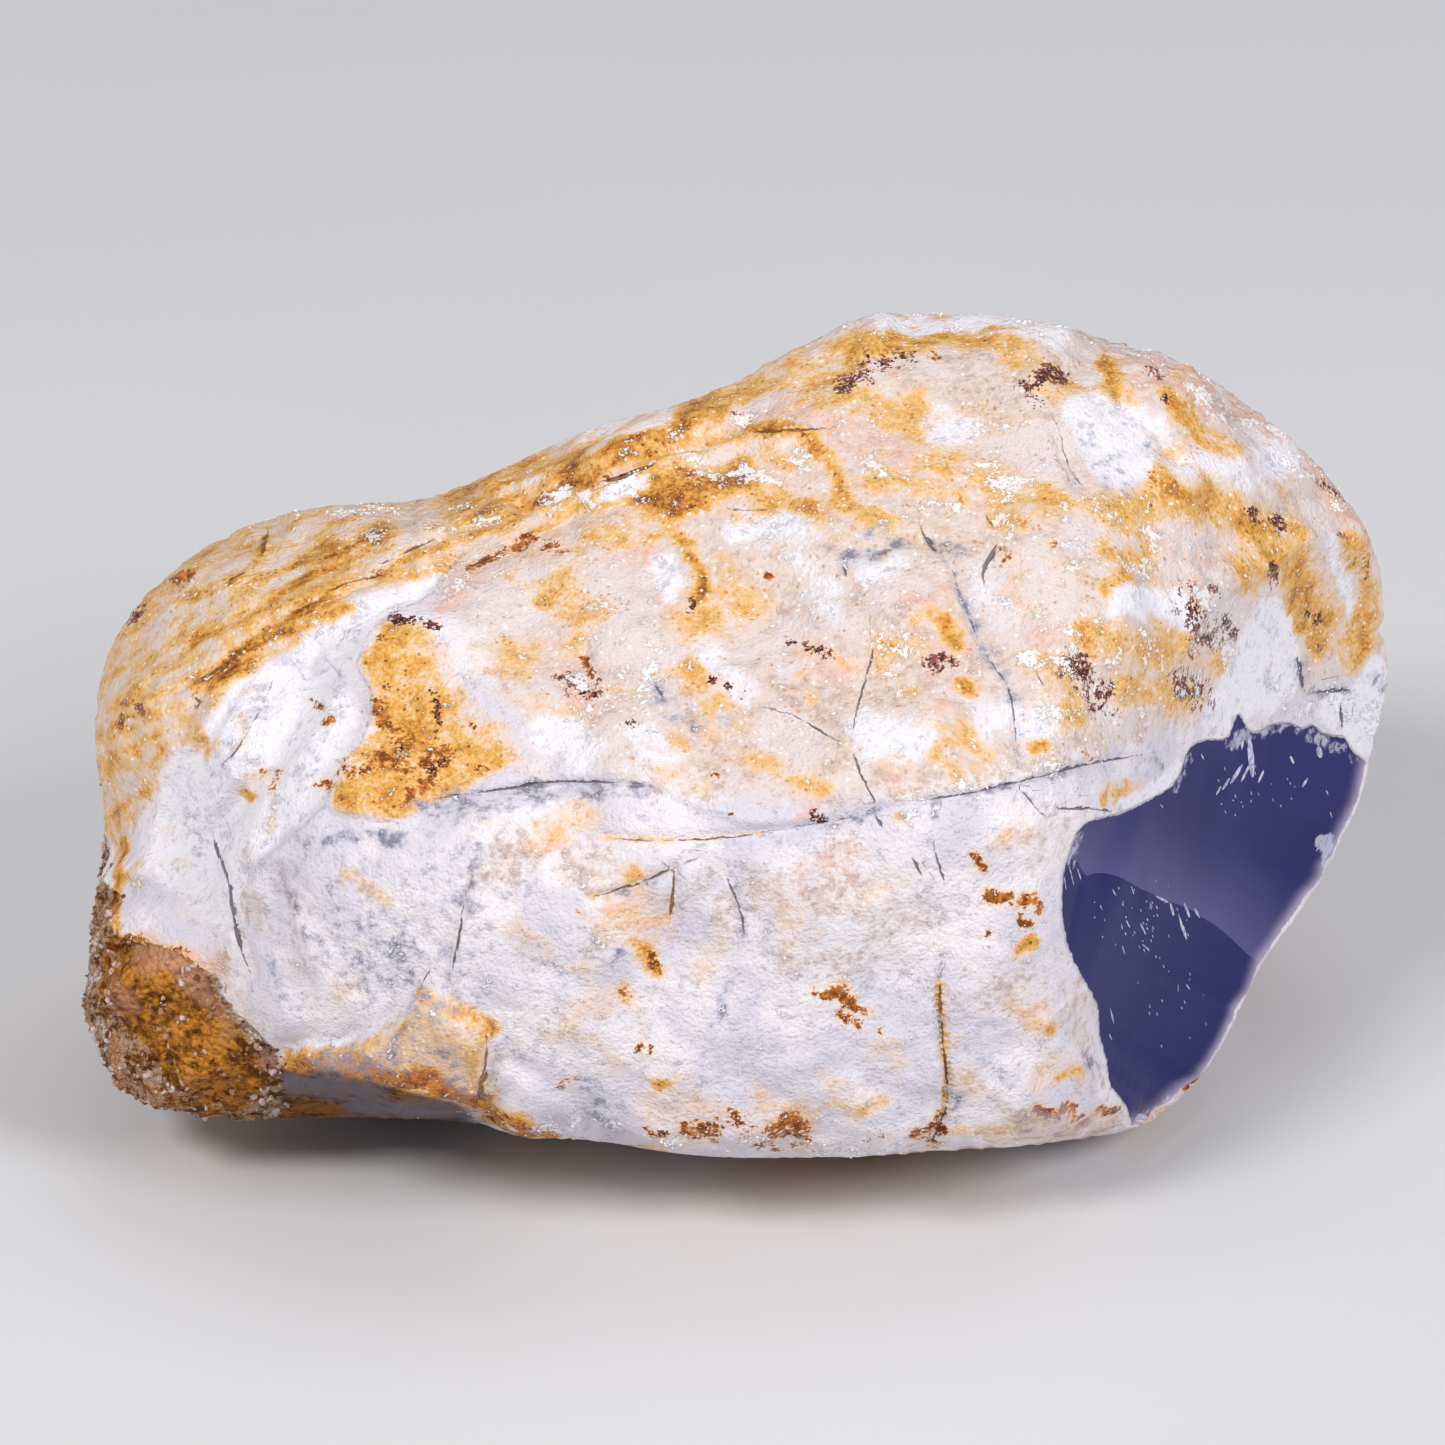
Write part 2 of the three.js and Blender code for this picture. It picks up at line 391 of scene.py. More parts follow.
# the lip of the second flake rolls down to its edge, and the stone beyond rises slowly again
roll_depth = 0.6
roll_width = 28
drop_depth = 1.5
drop_width = 60
lip_away = line_distance(slight_wobble, lip_edge)
past_lip = ramp(inside_distance(slight_wobble, beyond_lip), -2.5, 2.5)
lip_roll = roll_depth * ramp(-lip_away, -roll_width, 0) * (1 - past_lip)
lip_drop = drop_depth * (1 - ramp(lip_away, 6, drop_width)) * past_lip
relief = relief - facing * (lip_roll + lip_drop)

# round hollows: a point on the surface, the radius of the ball that fits in, and the depth
hollows = [
    ((22.6, -5.9, 43.5), 7, 0.9),
    ((-34.6, -20.6, 11.4), 1.7, 1.3),
    ((-32.8, 1.1, 32.5), 1.2, 0.7),
    ((-12.0, -6.7, 38.2), 1.1, 0.6),
    ((-8.1, -16.8, 34.8), 1.5, 0.6),
]
for at, radius, bite in hollows:
    rim = math.sqrt(2 * radius * bite)
    away = np.linalg.norm(spots - np.array(at), axis=1)
    relief = relief - bite * ramp(-away, -1.15 * rim, 0)

# grooves: width in squares, depth in millimetres and course; a depth below zero is a proud fold
grooves = [
    (12, 0.4, (450, 499), (490, 498), (520, 497)),
    (20, 1.4, (520, 497), (545, 495), (597, 480), (645, 457), (679, 440), (720, 428)),
    (16, -0.8, (545, 512), (600, 496), (645, 474), (680, 456), (720, 444), (800, 436)),
    (26, -0.3, (500, 480), (570, 450), (620, 434), (670, 420), (720, 402)),
    (16, -0.4, (258, 666), (243, 690), (232, 712), (215, 740), (196, 762)),
    (14, -0.4, (480, 850), (470, 905), (462, 940), (456, 972)),
    (20, 0.5, (270, 880), (285, 940), (300, 1000), (300, 1040)),
    (14, -0.5, (1330, 480), (1340, 530), (1360, 580), (1372, 630)),
    (14, 0.5, (1130, 395), (1165, 420), (1190, 455)), (12, 0.4, (1195, 560), (1225, 590), (1240, 630)),
    (7, 0.45, (213, 832), (222, 862), (229, 880), (232, 905), (236, 930), (243, 955), (252, 976)),
    (9, 0.35, (478, 850), (464, 905), (458, 940), (452, 972)),
    (6, 0.55, (947, 955), (940, 985), (940, 1015), (944, 1050), (947, 1085), (943, 1120), (932, 1142)),
    (6, 0.35, (487, 1045), (486, 1065), (480, 1090), (476, 1105)),
    (10, 0.35, (604, 838), (700, 840), (790, 828), (880, 808)),
    (6, 0.3, (905, 802), (985, 790), (1040, 777), (1080, 765), (1160, 752)),
    (14, 0.45, (428, 802), (515, 790), (600, 784), (655, 786)),
    (8, 0.3, (842, 565), (850, 560), (900, 548), (937, 553), (958, 590), (980, 645), (1010, 690),
     (1017, 760)),
    (6, 0.35, (997, 545), (990, 558), (982, 572), (984, 584)), (7, 0.3, (262, 556), (266, 535), (270, 522)),
    (9, 0.3, (590, 898), (620, 889), (650, 880), (672, 868), (700, 858)),
    (8, 0.3, (674, 864), (674, 885), (670, 916)),
    (10, 0.5, (1050, 412), (1060, 432), (1064, 455), (1074, 478), (1090, 492)),
    (8, 0.3, (330, 592), (400, 560), (450, 533), (560, 505), (600, 482), (650, 462)),
    (8, 0.25, (180, 690), (240, 640), (300, 600), (370, 577)),
    (8, 0.2, (140, 700), (190, 640), (260, 600), (340, 560)), (8, 0.22, (150, 790), (190, 710), (225, 660)),
    (8, 0.25, (750, 432), (800, 430), (830, 428)), (7, 0.3, (1312, 692), (1352, 690)),
    (7, 0.25, (1345, 535), (1360, 575), (1372, 620)),
]
for width, depth, *course in grooves:
    relief = relief - facing * depth * ramp(-line_distance(slight_wobble, course), -width, 0)

# knobs of the heel's crust: degrees round and up as seen from its middle, radius, and how proud
heel_knobs = [
    (182, 40, 2.6, 0.8), (195, 15, 3.2, 0.9), (172, 8, 2.8, 0.8), (212, 34, 2.4, 0.7),
    (218, 4, 3.0, 1.0), (200, -18, 3.2, 1.0), (236, -16, 2.8, 0.9), (178, -24, 2.8, 0.8),
    (240, 16, 2.6, 0.7), (214, -42, 3.0, 0.9), (258, -2, 2.2, 0.6), (252, -38, 2.6, 0.8),
    (160, 26, 2.4, 0.6), (150, -6, 2.6, 0.6), (232, 44, 2.0, 0.5),
]
degrees_a_millimetre = 6
crust_core = 12
crust_end = 17
heel_middle = np.array(heel[0])
heel_back = np.array([-0.93, 0.30, 0.0])
heel_away = np.linalg.norm(spots - heel_middle, axis=1)
heel_arm = (spots - heel_middle) / heel_away[:, None]
near_heel = ramp(-heel_away, -crust_end, -crust_core)
crust_front = [
    (100, 875), (112, 905), (114, 950), (150, 945), (205, 965), (228, 1010), (262, 1058), (272, 1090),
    (262, 1200), (40, 1200), (60, 880),
]
crust_drawn = ramp(inside_distance(slight_wobble, crust_front), -6, 6)
crust_behind = near_heel * ramp(heel_arm @ heel_back, 0.2, 0.5)
crust = near_heel * np.where(facing > 0.5, crust_drawn, crust_behind)
for round_by, up_by, radius, proud in heel_knobs:
    round_by = math.radians(round_by)
    up_by = math.radians(up_by)
    level = math.cos(up_by)
    way = np.array([level * math.cos(round_by), level * math.sin(round_by), math.sin(up_by)])
    turn = np.degrees(np.arccos(np.clip(heel_arm @ way, -1, 1)))
    relief = relief + crust * proud * ramp(-turn, -radius * degrees_a_millimetre, 0)
relief = relief + crust * (0.28 * rough_noise(spots, 1.3, 2, 70) + 0.2 * rough_noise(spots, 2.6, 1, 75))

# a small rough bump at the right rim
rim_bump = np.array([40.0, 3.5, 24.5])
bump_core = 3.5
bump_end = 5.5
at_bump = ramp(-np.linalg.norm(spots - rim_bump, axis=1), -bump_end, -bump_core)
relief = relief + at_bump * (0.5 + 0.35 * rough_noise(spots, 1.6, 2, 80))

# the rind is rougher along the right crest
right_crest = [(1120, 345), (1230, 395), (1300, 450), (1350, 510), (1385, 600)]
crest_roughness = 0.28
crest_core = 10
crest_end = 45
at_crest = facing * ramp(-line_distance(marks, right_crest), -crest_end, -crest_core)
relief = relief + at_crest * crest_roughness * rough_noise(spots, 1.3, 2, 90)

# left of the scoops a last thin flake has gone, which slopes from the drawn edge down to them
flake_slope = 0.55
flake_edge = 0.2
flake_blend = 1.6
strip_core = 1140
strip_end = 1180
left_edge = inside_distance(marks, window_drawn) * square
left_strip = ramp(-marks[:, 0], -strip_end, -strip_core) * (facing > 0.3)
in_break = np.maximum(ramp(break_depth, -0.1, 0.35), left_strip * ramp(left_edge, -0.2, 0.3))
relief = relief * (1 - in_break)
flake_depth = flake_slope * np.maximum(left_edge, 0) + flake_edge * ramp(left_edge, -0.1, 0.3)
flake_reach = grown - left_strip * flake_depth
run_together = -soft_max(-flake_reach, -break_reach, flake_blend)
flaked_reach = np.minimum(np.minimum(reaches, flake_reach), run_together)
reaches = np.where(left_strip > 0, flaked_reach, reaches)
reaches = np.minimum(reaches + relief * ramp(floor_reach - reaches, 0.01, 0.6), floor_reach)

# the outline the viewer sees; the stone is eased out or in to meet it, less and less away from it
outline_seen = [
    (104, 800), (96, 765), (94, 730), (99, 680), (112, 640), (138, 600), (160, 580), (188, 557), (223, 535),
    (255, 520), (290, 510), (330, 503), (370, 501), (400, 500), (430, 496), (450, 491), (490, 474),
    (530, 456), (570, 437), (610, 421), (650, 413), (690, 400), (730, 385), (770, 360), (810, 340),
    (850, 320), (880, 311), (930, 313), (970, 314), (1010, 315), (1050, 321), (1090, 334), (1130, 345),
    (1170, 354), (1210, 377), (1250, 405), (1290, 435), (1330, 477), (1345, 498), (1363, 520), (1379, 560),
    (1385, 600), (1383, 640), (1390, 680), (1380, 715), (1370, 760), (1362, 800), (1343, 840), (1322, 880),
    (1296, 920), (1265, 958), (1244, 1000), (1226, 1040), (1200, 1080), (1157, 1120), (1130, 1133),
    (1090, 1139), (1050, 1144), (1010, 1149), (940, 1151), (890, 1156), (810, 1158), (730, 1158),
    (690, 1155), (650, 1150), (610, 1142), (560, 1139), (530, 1140), (500, 1131), (480, 1124), (430, 1121),
    (340, 1119), (262, 1122), (200, 1120), (173, 1112), (150, 1106), (130, 1098), (112, 1080), (103, 1060),
    (95, 1040), (86, 1020), (82, 1000), (86, 975), (90, 950), (91, 920), (98, 880), (105, 845),
]
bins = 360
easings = 3
bin_width = 2 * math.pi / bins
bin_middles = (np.arange(bins) + 0.5) * bin_width - math.pi


def turn_and_span(places):
    """Each place's turn about the middle on the sheet, and how far from it the place lies."""
    arm = places - on_sheet(middle[None])
    return np.arctan2(arm[:, 1], arm[:, 0]), np.hypot(arm[:, 0], arm[:, 1])


drawn_turns, drawn_spans = turn_and_span(rounded(outline_seen))
in_turn = np.argsort(drawn_turns)
wanted = np.interp(bin_middles, drawn_turns[in_turn], drawn_spans[in_turn], period=2 * math.pi)
for _ in range(easings):
    turns, spans = turn_and_span(on_sheet(middle + ways * reaches[:, None]))
    widest = np.zeros(bins)
    np.maximum.at(widest, ((turns + math.pi) / bin_width).astype(int) % bins, spans)
    ease = np.interp(turns, bin_middles, wanted / widest, period=2 * math.pi) - 1
    spread = spans / np.interp(turns, bin_middles, widest, period=2 * math.pi)
    reaches = np.minimum(reaches * (1 + ease * ramp(spread, 0.6, 1.0)), floor_reach)
surface = middle + ways * reaches[:, None] + onto_origin


# ---------------------------------------------------------------- stains, skins, cracks and painted shade
# Iron and clay have stained the rind, and hair cracks run through it. How much of each lies where is an
# amount from 0 to 1. The unseen side gets the same pigments by chance. Some of the grey washes, two dark
# lines and the undercut's dark tint are painted shade.

spots = surface - onto_origin
marks = on_sheet(spots)
drift = rough_noise(spots, 6.0, 3, 300)
mottle = rough_noise(spots, 2.2, 3, 330)

# streaks run up the left lobe: 55 squares long and 9 wide
streak_turn = np.array([[0.89, -0.45], [0.45, 0.89]])
streak_size = np.array([55, 9])
flow = (streak_turn @ marks.T).T / streak_size
streaks = rough_noise(np.column_stack([flow, np.zeros(len(flow))]), 1.0, 3, 350)


def nearby(places, course, width):
    low = np.min(course, axis=0) - width
    high = np.max(course, axis=0) + width
    return np.where(np.all((places > low) & (places < high), axis=1))[0]


def washed(strokes, patches=(), soft=1.0):
    amount = np.zeros(len(marks))
    for width, strength, *course in strokes:
        if len(course) == 1:
            course = [course[0], (course[0][0] + 1, course[0][1])]
        here = nearby(marks, course, width * 2 + 12)
        away = line_distance(marks[here] + wobble[here] * min(width / 9, 1.6), rounded(course, closed=False))
        touch = strength * ramp(-away, -width * (0.9 + soft) - 1, -width * 0.1)
        amount[here] = np.maximum(amount[here], touch)
    for softness, strength, outline in patches:
        here = nearby(marks, outline, softness + 8)
        side = inside_distance(marks[here] + wobble[here] * 0.6, outline)
        amount[here] = np.maximum(amount[here], strength * ramp(side, -softness, softness))
    return amount


# a wash has a width in squares, a strength and its course; a patch is an outline with a soft edge
knee_patch = [
    (380, 620), (372, 640), (362, 655), (358, 667), (368, 680), (376, 712), (373, 730), (362, 745),
    (350, 755), (340, 775), (332, 803), (336, 815), (375, 818), (400, 822), (425, 808), (450, 800),
    (480, 780), (515, 765), (528, 748), (520, 730), (505, 715), (480, 700), (470, 690), (455, 660),
    (440, 640), (430, 625), (405, 618),
]
heel_ochre = [
    (108, 955), (130, 942), (160, 945), (180, 950), (205, 968), (210, 990), (228, 1010), (245, 1035),
    (262, 1058), (280, 1078), (264, 1104), (236, 1116), (200, 1112), (196, 1092), (166, 1086), (160, 1066),
    (132, 1040), (112, 1004),
]
heel_strokes = [
    (9, 0.6, (104, 1000), (112, 1030), (118, 1060)), (8, 0.7, (150, 1088), (178, 1104), (220, 1112)),
    (9, 0.55, (140, 1075), (160, 1096)), (12, 1.0, (175, 1010), (205, 1030), (230, 1062)),
]
ochre_washes = [
    (16, 0.6, (150, 600), (190, 565), (240, 540)),
    (10, 0.8, (285, 590), (320, 580), (350, 565), (385, 530)),
    (14, 0.75, (330, 550), (360, 545), (390, 528)),
    (4, 0.85, (225, 583), (245, 572), (262, 555), (267, 532)),
    (16, 0.9, (205, 690), (230, 672), (262, 640), (300, 615), (335, 602)),
    (12, 0.75, (190, 640), (235, 622), (290, 605), (340, 585)),
    (9, 0.65, (300, 590), (390, 578), (440, 563)), (8, 0.7, (500, 525), (470, 535), (440, 545), (400, 560)),
    (10, 0.6, (120, 700), (122, 730), (112, 770)), (7, 0.7, (132, 685), (137, 680)),
    (8, 0.5, (160, 650), (175, 640)), (7, 0.6, (116, 790), (117, 820)),
    (5, 0.85, (123, 840), (120, 870), (118, 900), (113, 945)), (8, 0.55, (145, 795), (150, 780)),
    (14, 0.6, (205, 740), (190, 730), (175, 715)), (5, 0.7, (243, 792), (250, 797)),
    (18, 0.5, (450, 655), (500, 655), (520, 665)), (12, 0.45, (480, 690), (530, 700), (570, 715)),
    (22, 0.92, (660, 480), (700, 485), (740, 480)), (14, 0.85, (640, 500), (690, 500), (720, 495)),
    (15, 0.8, (470, 489), (540, 480), (600, 458), (660, 428), (720, 408)),
    (14, 0.7, (760, 500), (810, 505)), (10, 0.7, (660, 445), (700, 440), (740, 440)),
    (8, 0.85, (750, 430), (780, 428), (800, 432)),
    (12, 0.8, (805, 440), (825, 455), (840, 480), (845, 500)), (10, 0.6, (765, 450), (790, 465)),
    (14, 0.9, (545, 492), (580, 480), (620, 465), (650, 450), (670, 435), (700, 415)),
    (9, 0.65, (450, 492), (480, 488), (500, 480), (540, 455)),
    (10, 0.6, (700, 415), (740, 395), (830, 375)), (14, 0.6, (740, 385), (800, 360), (850, 345)),
    (8, 0.6, (440, 510), (480, 525), (520, 512), (550, 505)), (10, 0.6, (560, 510), (590, 505), (620, 505)),
    (8, 0.7, (650, 510), (665, 520)), (9, 0.95, (690, 555), (697, 565), (702, 585), (698, 600)),
    (28, 0.55, (700, 615), (740, 610)), (18, 0.5, (690, 630), (700, 640)), (6, 0.7, (735, 618), (745, 615)),
    (6, 0.7, (645, 540), (655, 538)), (8, 0.8, (680, 540), (695, 545)),
    (12, 0.75, (860, 362), (850, 345), (900, 345), (950, 338), (1020, 335)),
    (14, 0.6, (800, 395), (830, 385), (850, 380)), (10, 0.5, (1000, 350), (1030, 350)),
    (9, 0.6, (820, 400), (880, 395)), (14, 0.7, (925, 460), (945, 470), (955, 460)),
    (10, 0.6, (870, 480), (900, 485), (940, 490), (965, 495)), (8, 0.5, (890, 430), (905, 435), (925, 440)),
    (12, 0.7, (1040, 490), (1055, 495), (1060, 505)), (8, 0.65, (1010, 520), (1025, 525)),
    (9, 0.85, (940, 625), (950, 635), (957, 640)), (8, 0.85, (960, 685), (970, 690)),
    (8, 0.55, (915, 620), (930, 610)), (10, 0.8, (1104, 362), (1113, 370), (1121, 388)),
    (10, 0.8, (1170, 398), (1182, 422), (1198, 434)), (9, 0.6, (1196, 430), (1222, 446), (1244, 452)),
    (16, 0.6, (1110, 505), (1150, 510), (1180, 500), (1215, 505)), (5, 0.6, (1135, 395), (1140, 410)),
    (20, 0.74, (1160, 485), (1200, 500), (1240, 515), (1262, 535), (1285, 570)),
    (24, 0.8, (1290, 565), (1308, 595), (1322, 612)), (12, 0.75, (1300, 620), (1318, 645)),
    (15, 0.7, (1350, 545), (1364, 575), (1368, 610), (1362, 640), (1357, 655)),
    (16, 0.6, (1110, 550), (1150, 555)), (10, 0.75, (1100, 590), (1120, 580), (1125, 575)),
    (24, 0.58, (1110, 640), (1150, 660), (1180, 650)), (14, 0.8, (1085, 630), (1090, 650)),
    (18, 0.6, (1120, 690), (1160, 690), (1190, 700)), (12, 0.6, (1210, 660), (1220, 680)),
    (14, 0.5, (1160, 620), (1180, 640)), (10, 0.55, (1240, 560), (1250, 590)),
    (8, 0.8, (1035, 750), (1045, 745)), (10, 0.6, (1110, 795), (1130, 785)),
    (8, 0.55, (1070, 700), (1050, 720)), (7, 0.65, (1018, 955), (1035, 942)), (6, 0.7, (1050, 1030)),
    (8, 0.5, (1060, 1075), (1080, 1070)), (14, 0.35, (600, 915), (630, 935), (650, 920)),
    (8, 0.5, (630, 870), (640, 890)), (6, 0.7, (660, 1085), (670, 1083)),
    (8, 0.85, (420, 995), (430, 1000)), (11, 0.9, (458, 1010), (475, 1020), (490, 1030)),
    (8, 0.85, (400, 1035), (408, 1032)), (28, 0.58, (392, 1056), (440, 1042), (464, 1072)),
    (8, 0.85, (472, 1052), (476, 1088)), (6, 0.8, (365, 1050), (375, 1040)),
    (5, 0.85, (290, 1057), (345, 1050)), (6, 0.8, (900, 814)),
    (13, 0.95, (292, 1066), (350, 1064), (385, 1072), (430, 1083), (478, 1098)),
    (7, 0.8, (475, 1070), (470, 1060)), (10, 0.95, (490, 1112), (520, 1125), (550, 1138)),
    (10, 0.9, (110, 950), (108, 990)), (30, 0.36, (612, 912), (640, 925)),
    (11, 0.75, (646, 950), (650, 966)), (8, 0.6, (622, 990), (626, 998)), (10, 0.5, (800, 785), (830, 790)),
    (12, 0.45, (760, 760), (780, 770)), (20, 0.38, (545, 836), (585, 818)),
    (10, 0.45, (340, 880), (385, 900)), (8, 0.5, (950, 1130), (1020, 1132)),
    (9, 0.5, (860, 1110), (880, 1100)), (20, 0.42, (1000, 1128), (1060, 1122), (1110, 1124)),
    (30, 0.78, (470, 505), (520, 500), (560, 480)), (24, 0.62, (590, 420), (660, 400), (720, 390)),
    (4, 0.66, (940, 978), (941, 1015), (945, 1050), (948, 1085), (944, 1115)),
    (4, 0.46, (604, 838), (660, 840), (700, 839), (760, 833)),
    (5, 0.42, (588, 897), (630, 886), (668, 872)), (4, 0.52, (672, 866), (673, 900), (668, 918)),
    (16, 0.34, (1026, 1008), (1044, 1024)), (16, 0.32, (1056, 1062), (1040, 1082)),
    (18, 0.3, (878, 1050), (902, 1060)), (20, 0.32, (826, 1084), (862, 1098)),
    (16, 0.34, (806, 1112), (762, 1100)), (20, 0.3, (698, 962), (722, 938)),
    (22, 0.28, (776, 896), (802, 934)), (16, 0.3, (900, 868), (880, 892)),
    (14, 0.32, (962, 1074), (976, 1084)), (18, 0.3, (520, 930), (544, 956)),
    (16, 0.3, (596, 1040), (620, 1062)), (14, 0.34, (1000, 842), (1030, 832)),
    (10, 0.55, (1350, 660), (1340, 640)), (9, 0.5, (840, 660), (855, 670)),
    (9, 0.45, (815, 650), (800, 670)),
]
rust_washes = [
    (8, 1.0, (136, 1055), (138, 1060)), (5, 0.9, (129, 1013)),
    (4, 0.95, (262, 1066), (300, 1072), (350, 1070), (390, 1080), (430, 1090), (476, 1103)),
    (7, 0.95, (180, 580), (190, 576)), (10, 0.95, (512, 545), (528, 540)), (4, 0.9, (470, 566), (500, 555)),
    (8, 0.8, (550, 548), (560, 552)), (4, 0.95, (583, 657), (590, 676)), (6, 0.85, (805, 440), (812, 450)),
    (6, 0.75, (680, 470), (700, 475)), (5, 0.75, (680, 495), (690, 505)), (4, 0.8, (605, 480), (622, 476)),
    (4, 0.75, (757, 570), (765, 575), (773, 578)), (4, 0.8, (1003, 550), (1005, 558)),
    (4, 0.85, (1052, 543)), (5, 0.75, (935, 356)), (3, 0.8, (1150, 475)),
    (5, 0.7, (1153, 482), (1160, 488)), (3, 0.8, (1183, 455)), (6, 0.6, (188, 712), (198, 695)),
    (4, 0.75, (325, 722), (332, 720)), (4, 0.8, (318, 787), (332, 785)), (3, 0.7, (270, 793), (280, 772)),
    (4, 0.6, (262, 772)), (4, 0.55, (312, 700), (322, 706)), (5, 0.7, (120, 718), (121, 728)),
    (3, 0.75, (138, 705), (142, 712)), (8, 0.65, (380, 700), (388, 730), (410, 742)),
    (9, 0.7, (350, 770), (380, 762), (420, 768), (445, 747)), (8, 0.65, (410, 797), (440, 772)),
    (6, 0.75, (482, 768)), (5, 0.7, (470, 727)), (5, 0.6, (378, 635), (382, 640)),
    (7, 0.9, (818, 990), (840, 992)), (6, 0.9, (845, 1000), (860, 1005), (868, 1012)),
    (6, 0.85, (842, 1015), (860, 1025)), (4, 0.6, (882, 1033)), (5, 0.85, (975, 855), (985, 868)),
    (6, 0.95, (990, 893), (1005, 897)), (6, 0.95, (1015, 900), (1036, 900)),
    (4, 0.85, (1040, 905), (1038, 912)), (4, 0.8, (1020, 915), (1025, 925), (1031, 922)),
    (4, 0.6, (988, 932)), (8, 0.85, (1040, 1110), (1065, 1112)), (7, 0.9, (1070, 1110), (1082, 1120)),
    (5, 0.8, (1100, 1110), (1118, 1112)), (8, 0.9, (690, 1130), (702, 1132)),
    (7, 0.85, (712, 1135), (720, 1125)), (8, 0.8, (735, 1115), (745, 1130)),
    (11, 0.85, (770, 1130), (790, 1124), (803, 1135)), (6, 0.6, (755, 1145), (780, 1148)),
    (6, 0.65, (645, 1130), (665, 1135)), (5, 0.85, (650, 955), (655, 970)),
    (4, 0.85, (622, 990), (626, 998)), (5, 0.5, (575, 1080), (560, 1085)), (4, 0.6, (577, 912)),
    (4, 0.8, (487, 1034)), (4, 0.6, (458, 1027)), (9, 0.95, (115, 950), (135, 945)),
    (12, 0.8, (165, 1062), (190, 1050)), (9, 0.75, (175, 955), (195, 968)), (6, 0.8, (120, 1015)),
    (5, 0.8, (105, 1050)), (6, 0.75, (120, 1078)), (6, 0.8, (160, 1090)),
    (5, 0.8, (1362, 560), (1366, 575)), (4, 0.7, (1340, 534)), (5, 0.75, (960, 498)), (5, 0.6, (1310, 690)),
    (4, 0.75, (715, 776)), (3, 0.7, (728, 812)), (3, 0.8, (896, 840)), (4, 0.75, (1085, 755), (1090, 762)),
    (8, 0.55, (870, 1135), (885, 1132)), (7, 0.8, (917, 1132)), (9, 0.9, (945, 1120), (935, 1138)),
    (7, 0.8, (280, 1075), (330, 1072), (380, 1072)), (8, 0.85, (410, 1075), (440, 1086), (470, 1098)),
    (7, 0.9, (495, 1116), (525, 1130)), (6, 0.7, (640, 1045), (650, 1050)),
    (6, 0.6, (1185, 1088), (1196, 1078)),
]
plum_washes = [
    (6, 0.9, (568, 680), (585, 690)), (5, 0.9, (595, 697)), (4, 0.7, (555, 677)),
    (5, 0.65, (130, 620), (142, 610)), (6, 0.9, (1035, 380), (1045, 372)), (6, 0.85, (1060, 378)),
    (6, 0.95, (1035, 398), (1038, 403)), (5, 0.8, (1020, 385)), (7, 0.7, (930, 665), (940, 662)),
    (3, 0.95, (792, 643)), (5, 0.7, (810, 650), (830, 652)), (7, 0.85, (1070, 660), (1085, 670)),
    (5, 0.75, (1100, 690), (1110, 695)), (6, 0.9, (1193, 605), (1195, 620)), (6, 0.9, (1203, 640)),
    (5, 0.9, (1224, 622), (1232, 632)), (6, 0.9, (1178, 680), (1182, 692)),
    (6, 0.75, (1195, 680), (1200, 690)), (4, 0.85, (1250, 510), (1258, 520)),
    (5, 0.85, (1275, 520), (1280, 530)), (4, 0.8, (1272, 565), (1275, 585)),
    (6, 0.6, (1160, 375), (1150, 370)), (4, 0.7, (1165, 402)), (4, 0.85, (692, 602), (690, 610)),
    (3, 0.75, (710, 680)), (3, 0.75, (728, 685)), (3, 0.75, (740, 694)),
    (4, 0.75, (1310, 615), (1318, 618)), (4, 0.7, (395, 618), (420, 622), (437, 628)),
    (5, 0.7, (1103, 705), (1112, 712)), (5, 0.8, (815, 817)), (8, 0.45, (870, 360), (910, 355)),
    (6, 0.55, (840, 385), (880, 375)), (6, 0.55, (1215, 590)), (4, 0.5, (430, 690), (440, 738)),
    (4, 0.6, (640, 718), (625, 724)), (5, 0.55, (1145, 1105)), (4, 0.6, (735, 418)),
    (16, 0.42, (1195, 600), (1205, 640)), (14, 0.42, (1185, 680), (1200, 700)), (12, 0.42, (1226, 628)),
    (14, 0.4, (1075, 665), (1100, 695)), (10, 0.4, (930, 665), (945, 662)),
    (12, 0.38, (570, 685), (595, 692)), (5, 0.6, (400, 745)), (4, 0.6, (385, 690)),
    (5, 0.6, (430, 772), (445, 760)), (4, 0.55, (1345, 500), (1320, 480)),
]
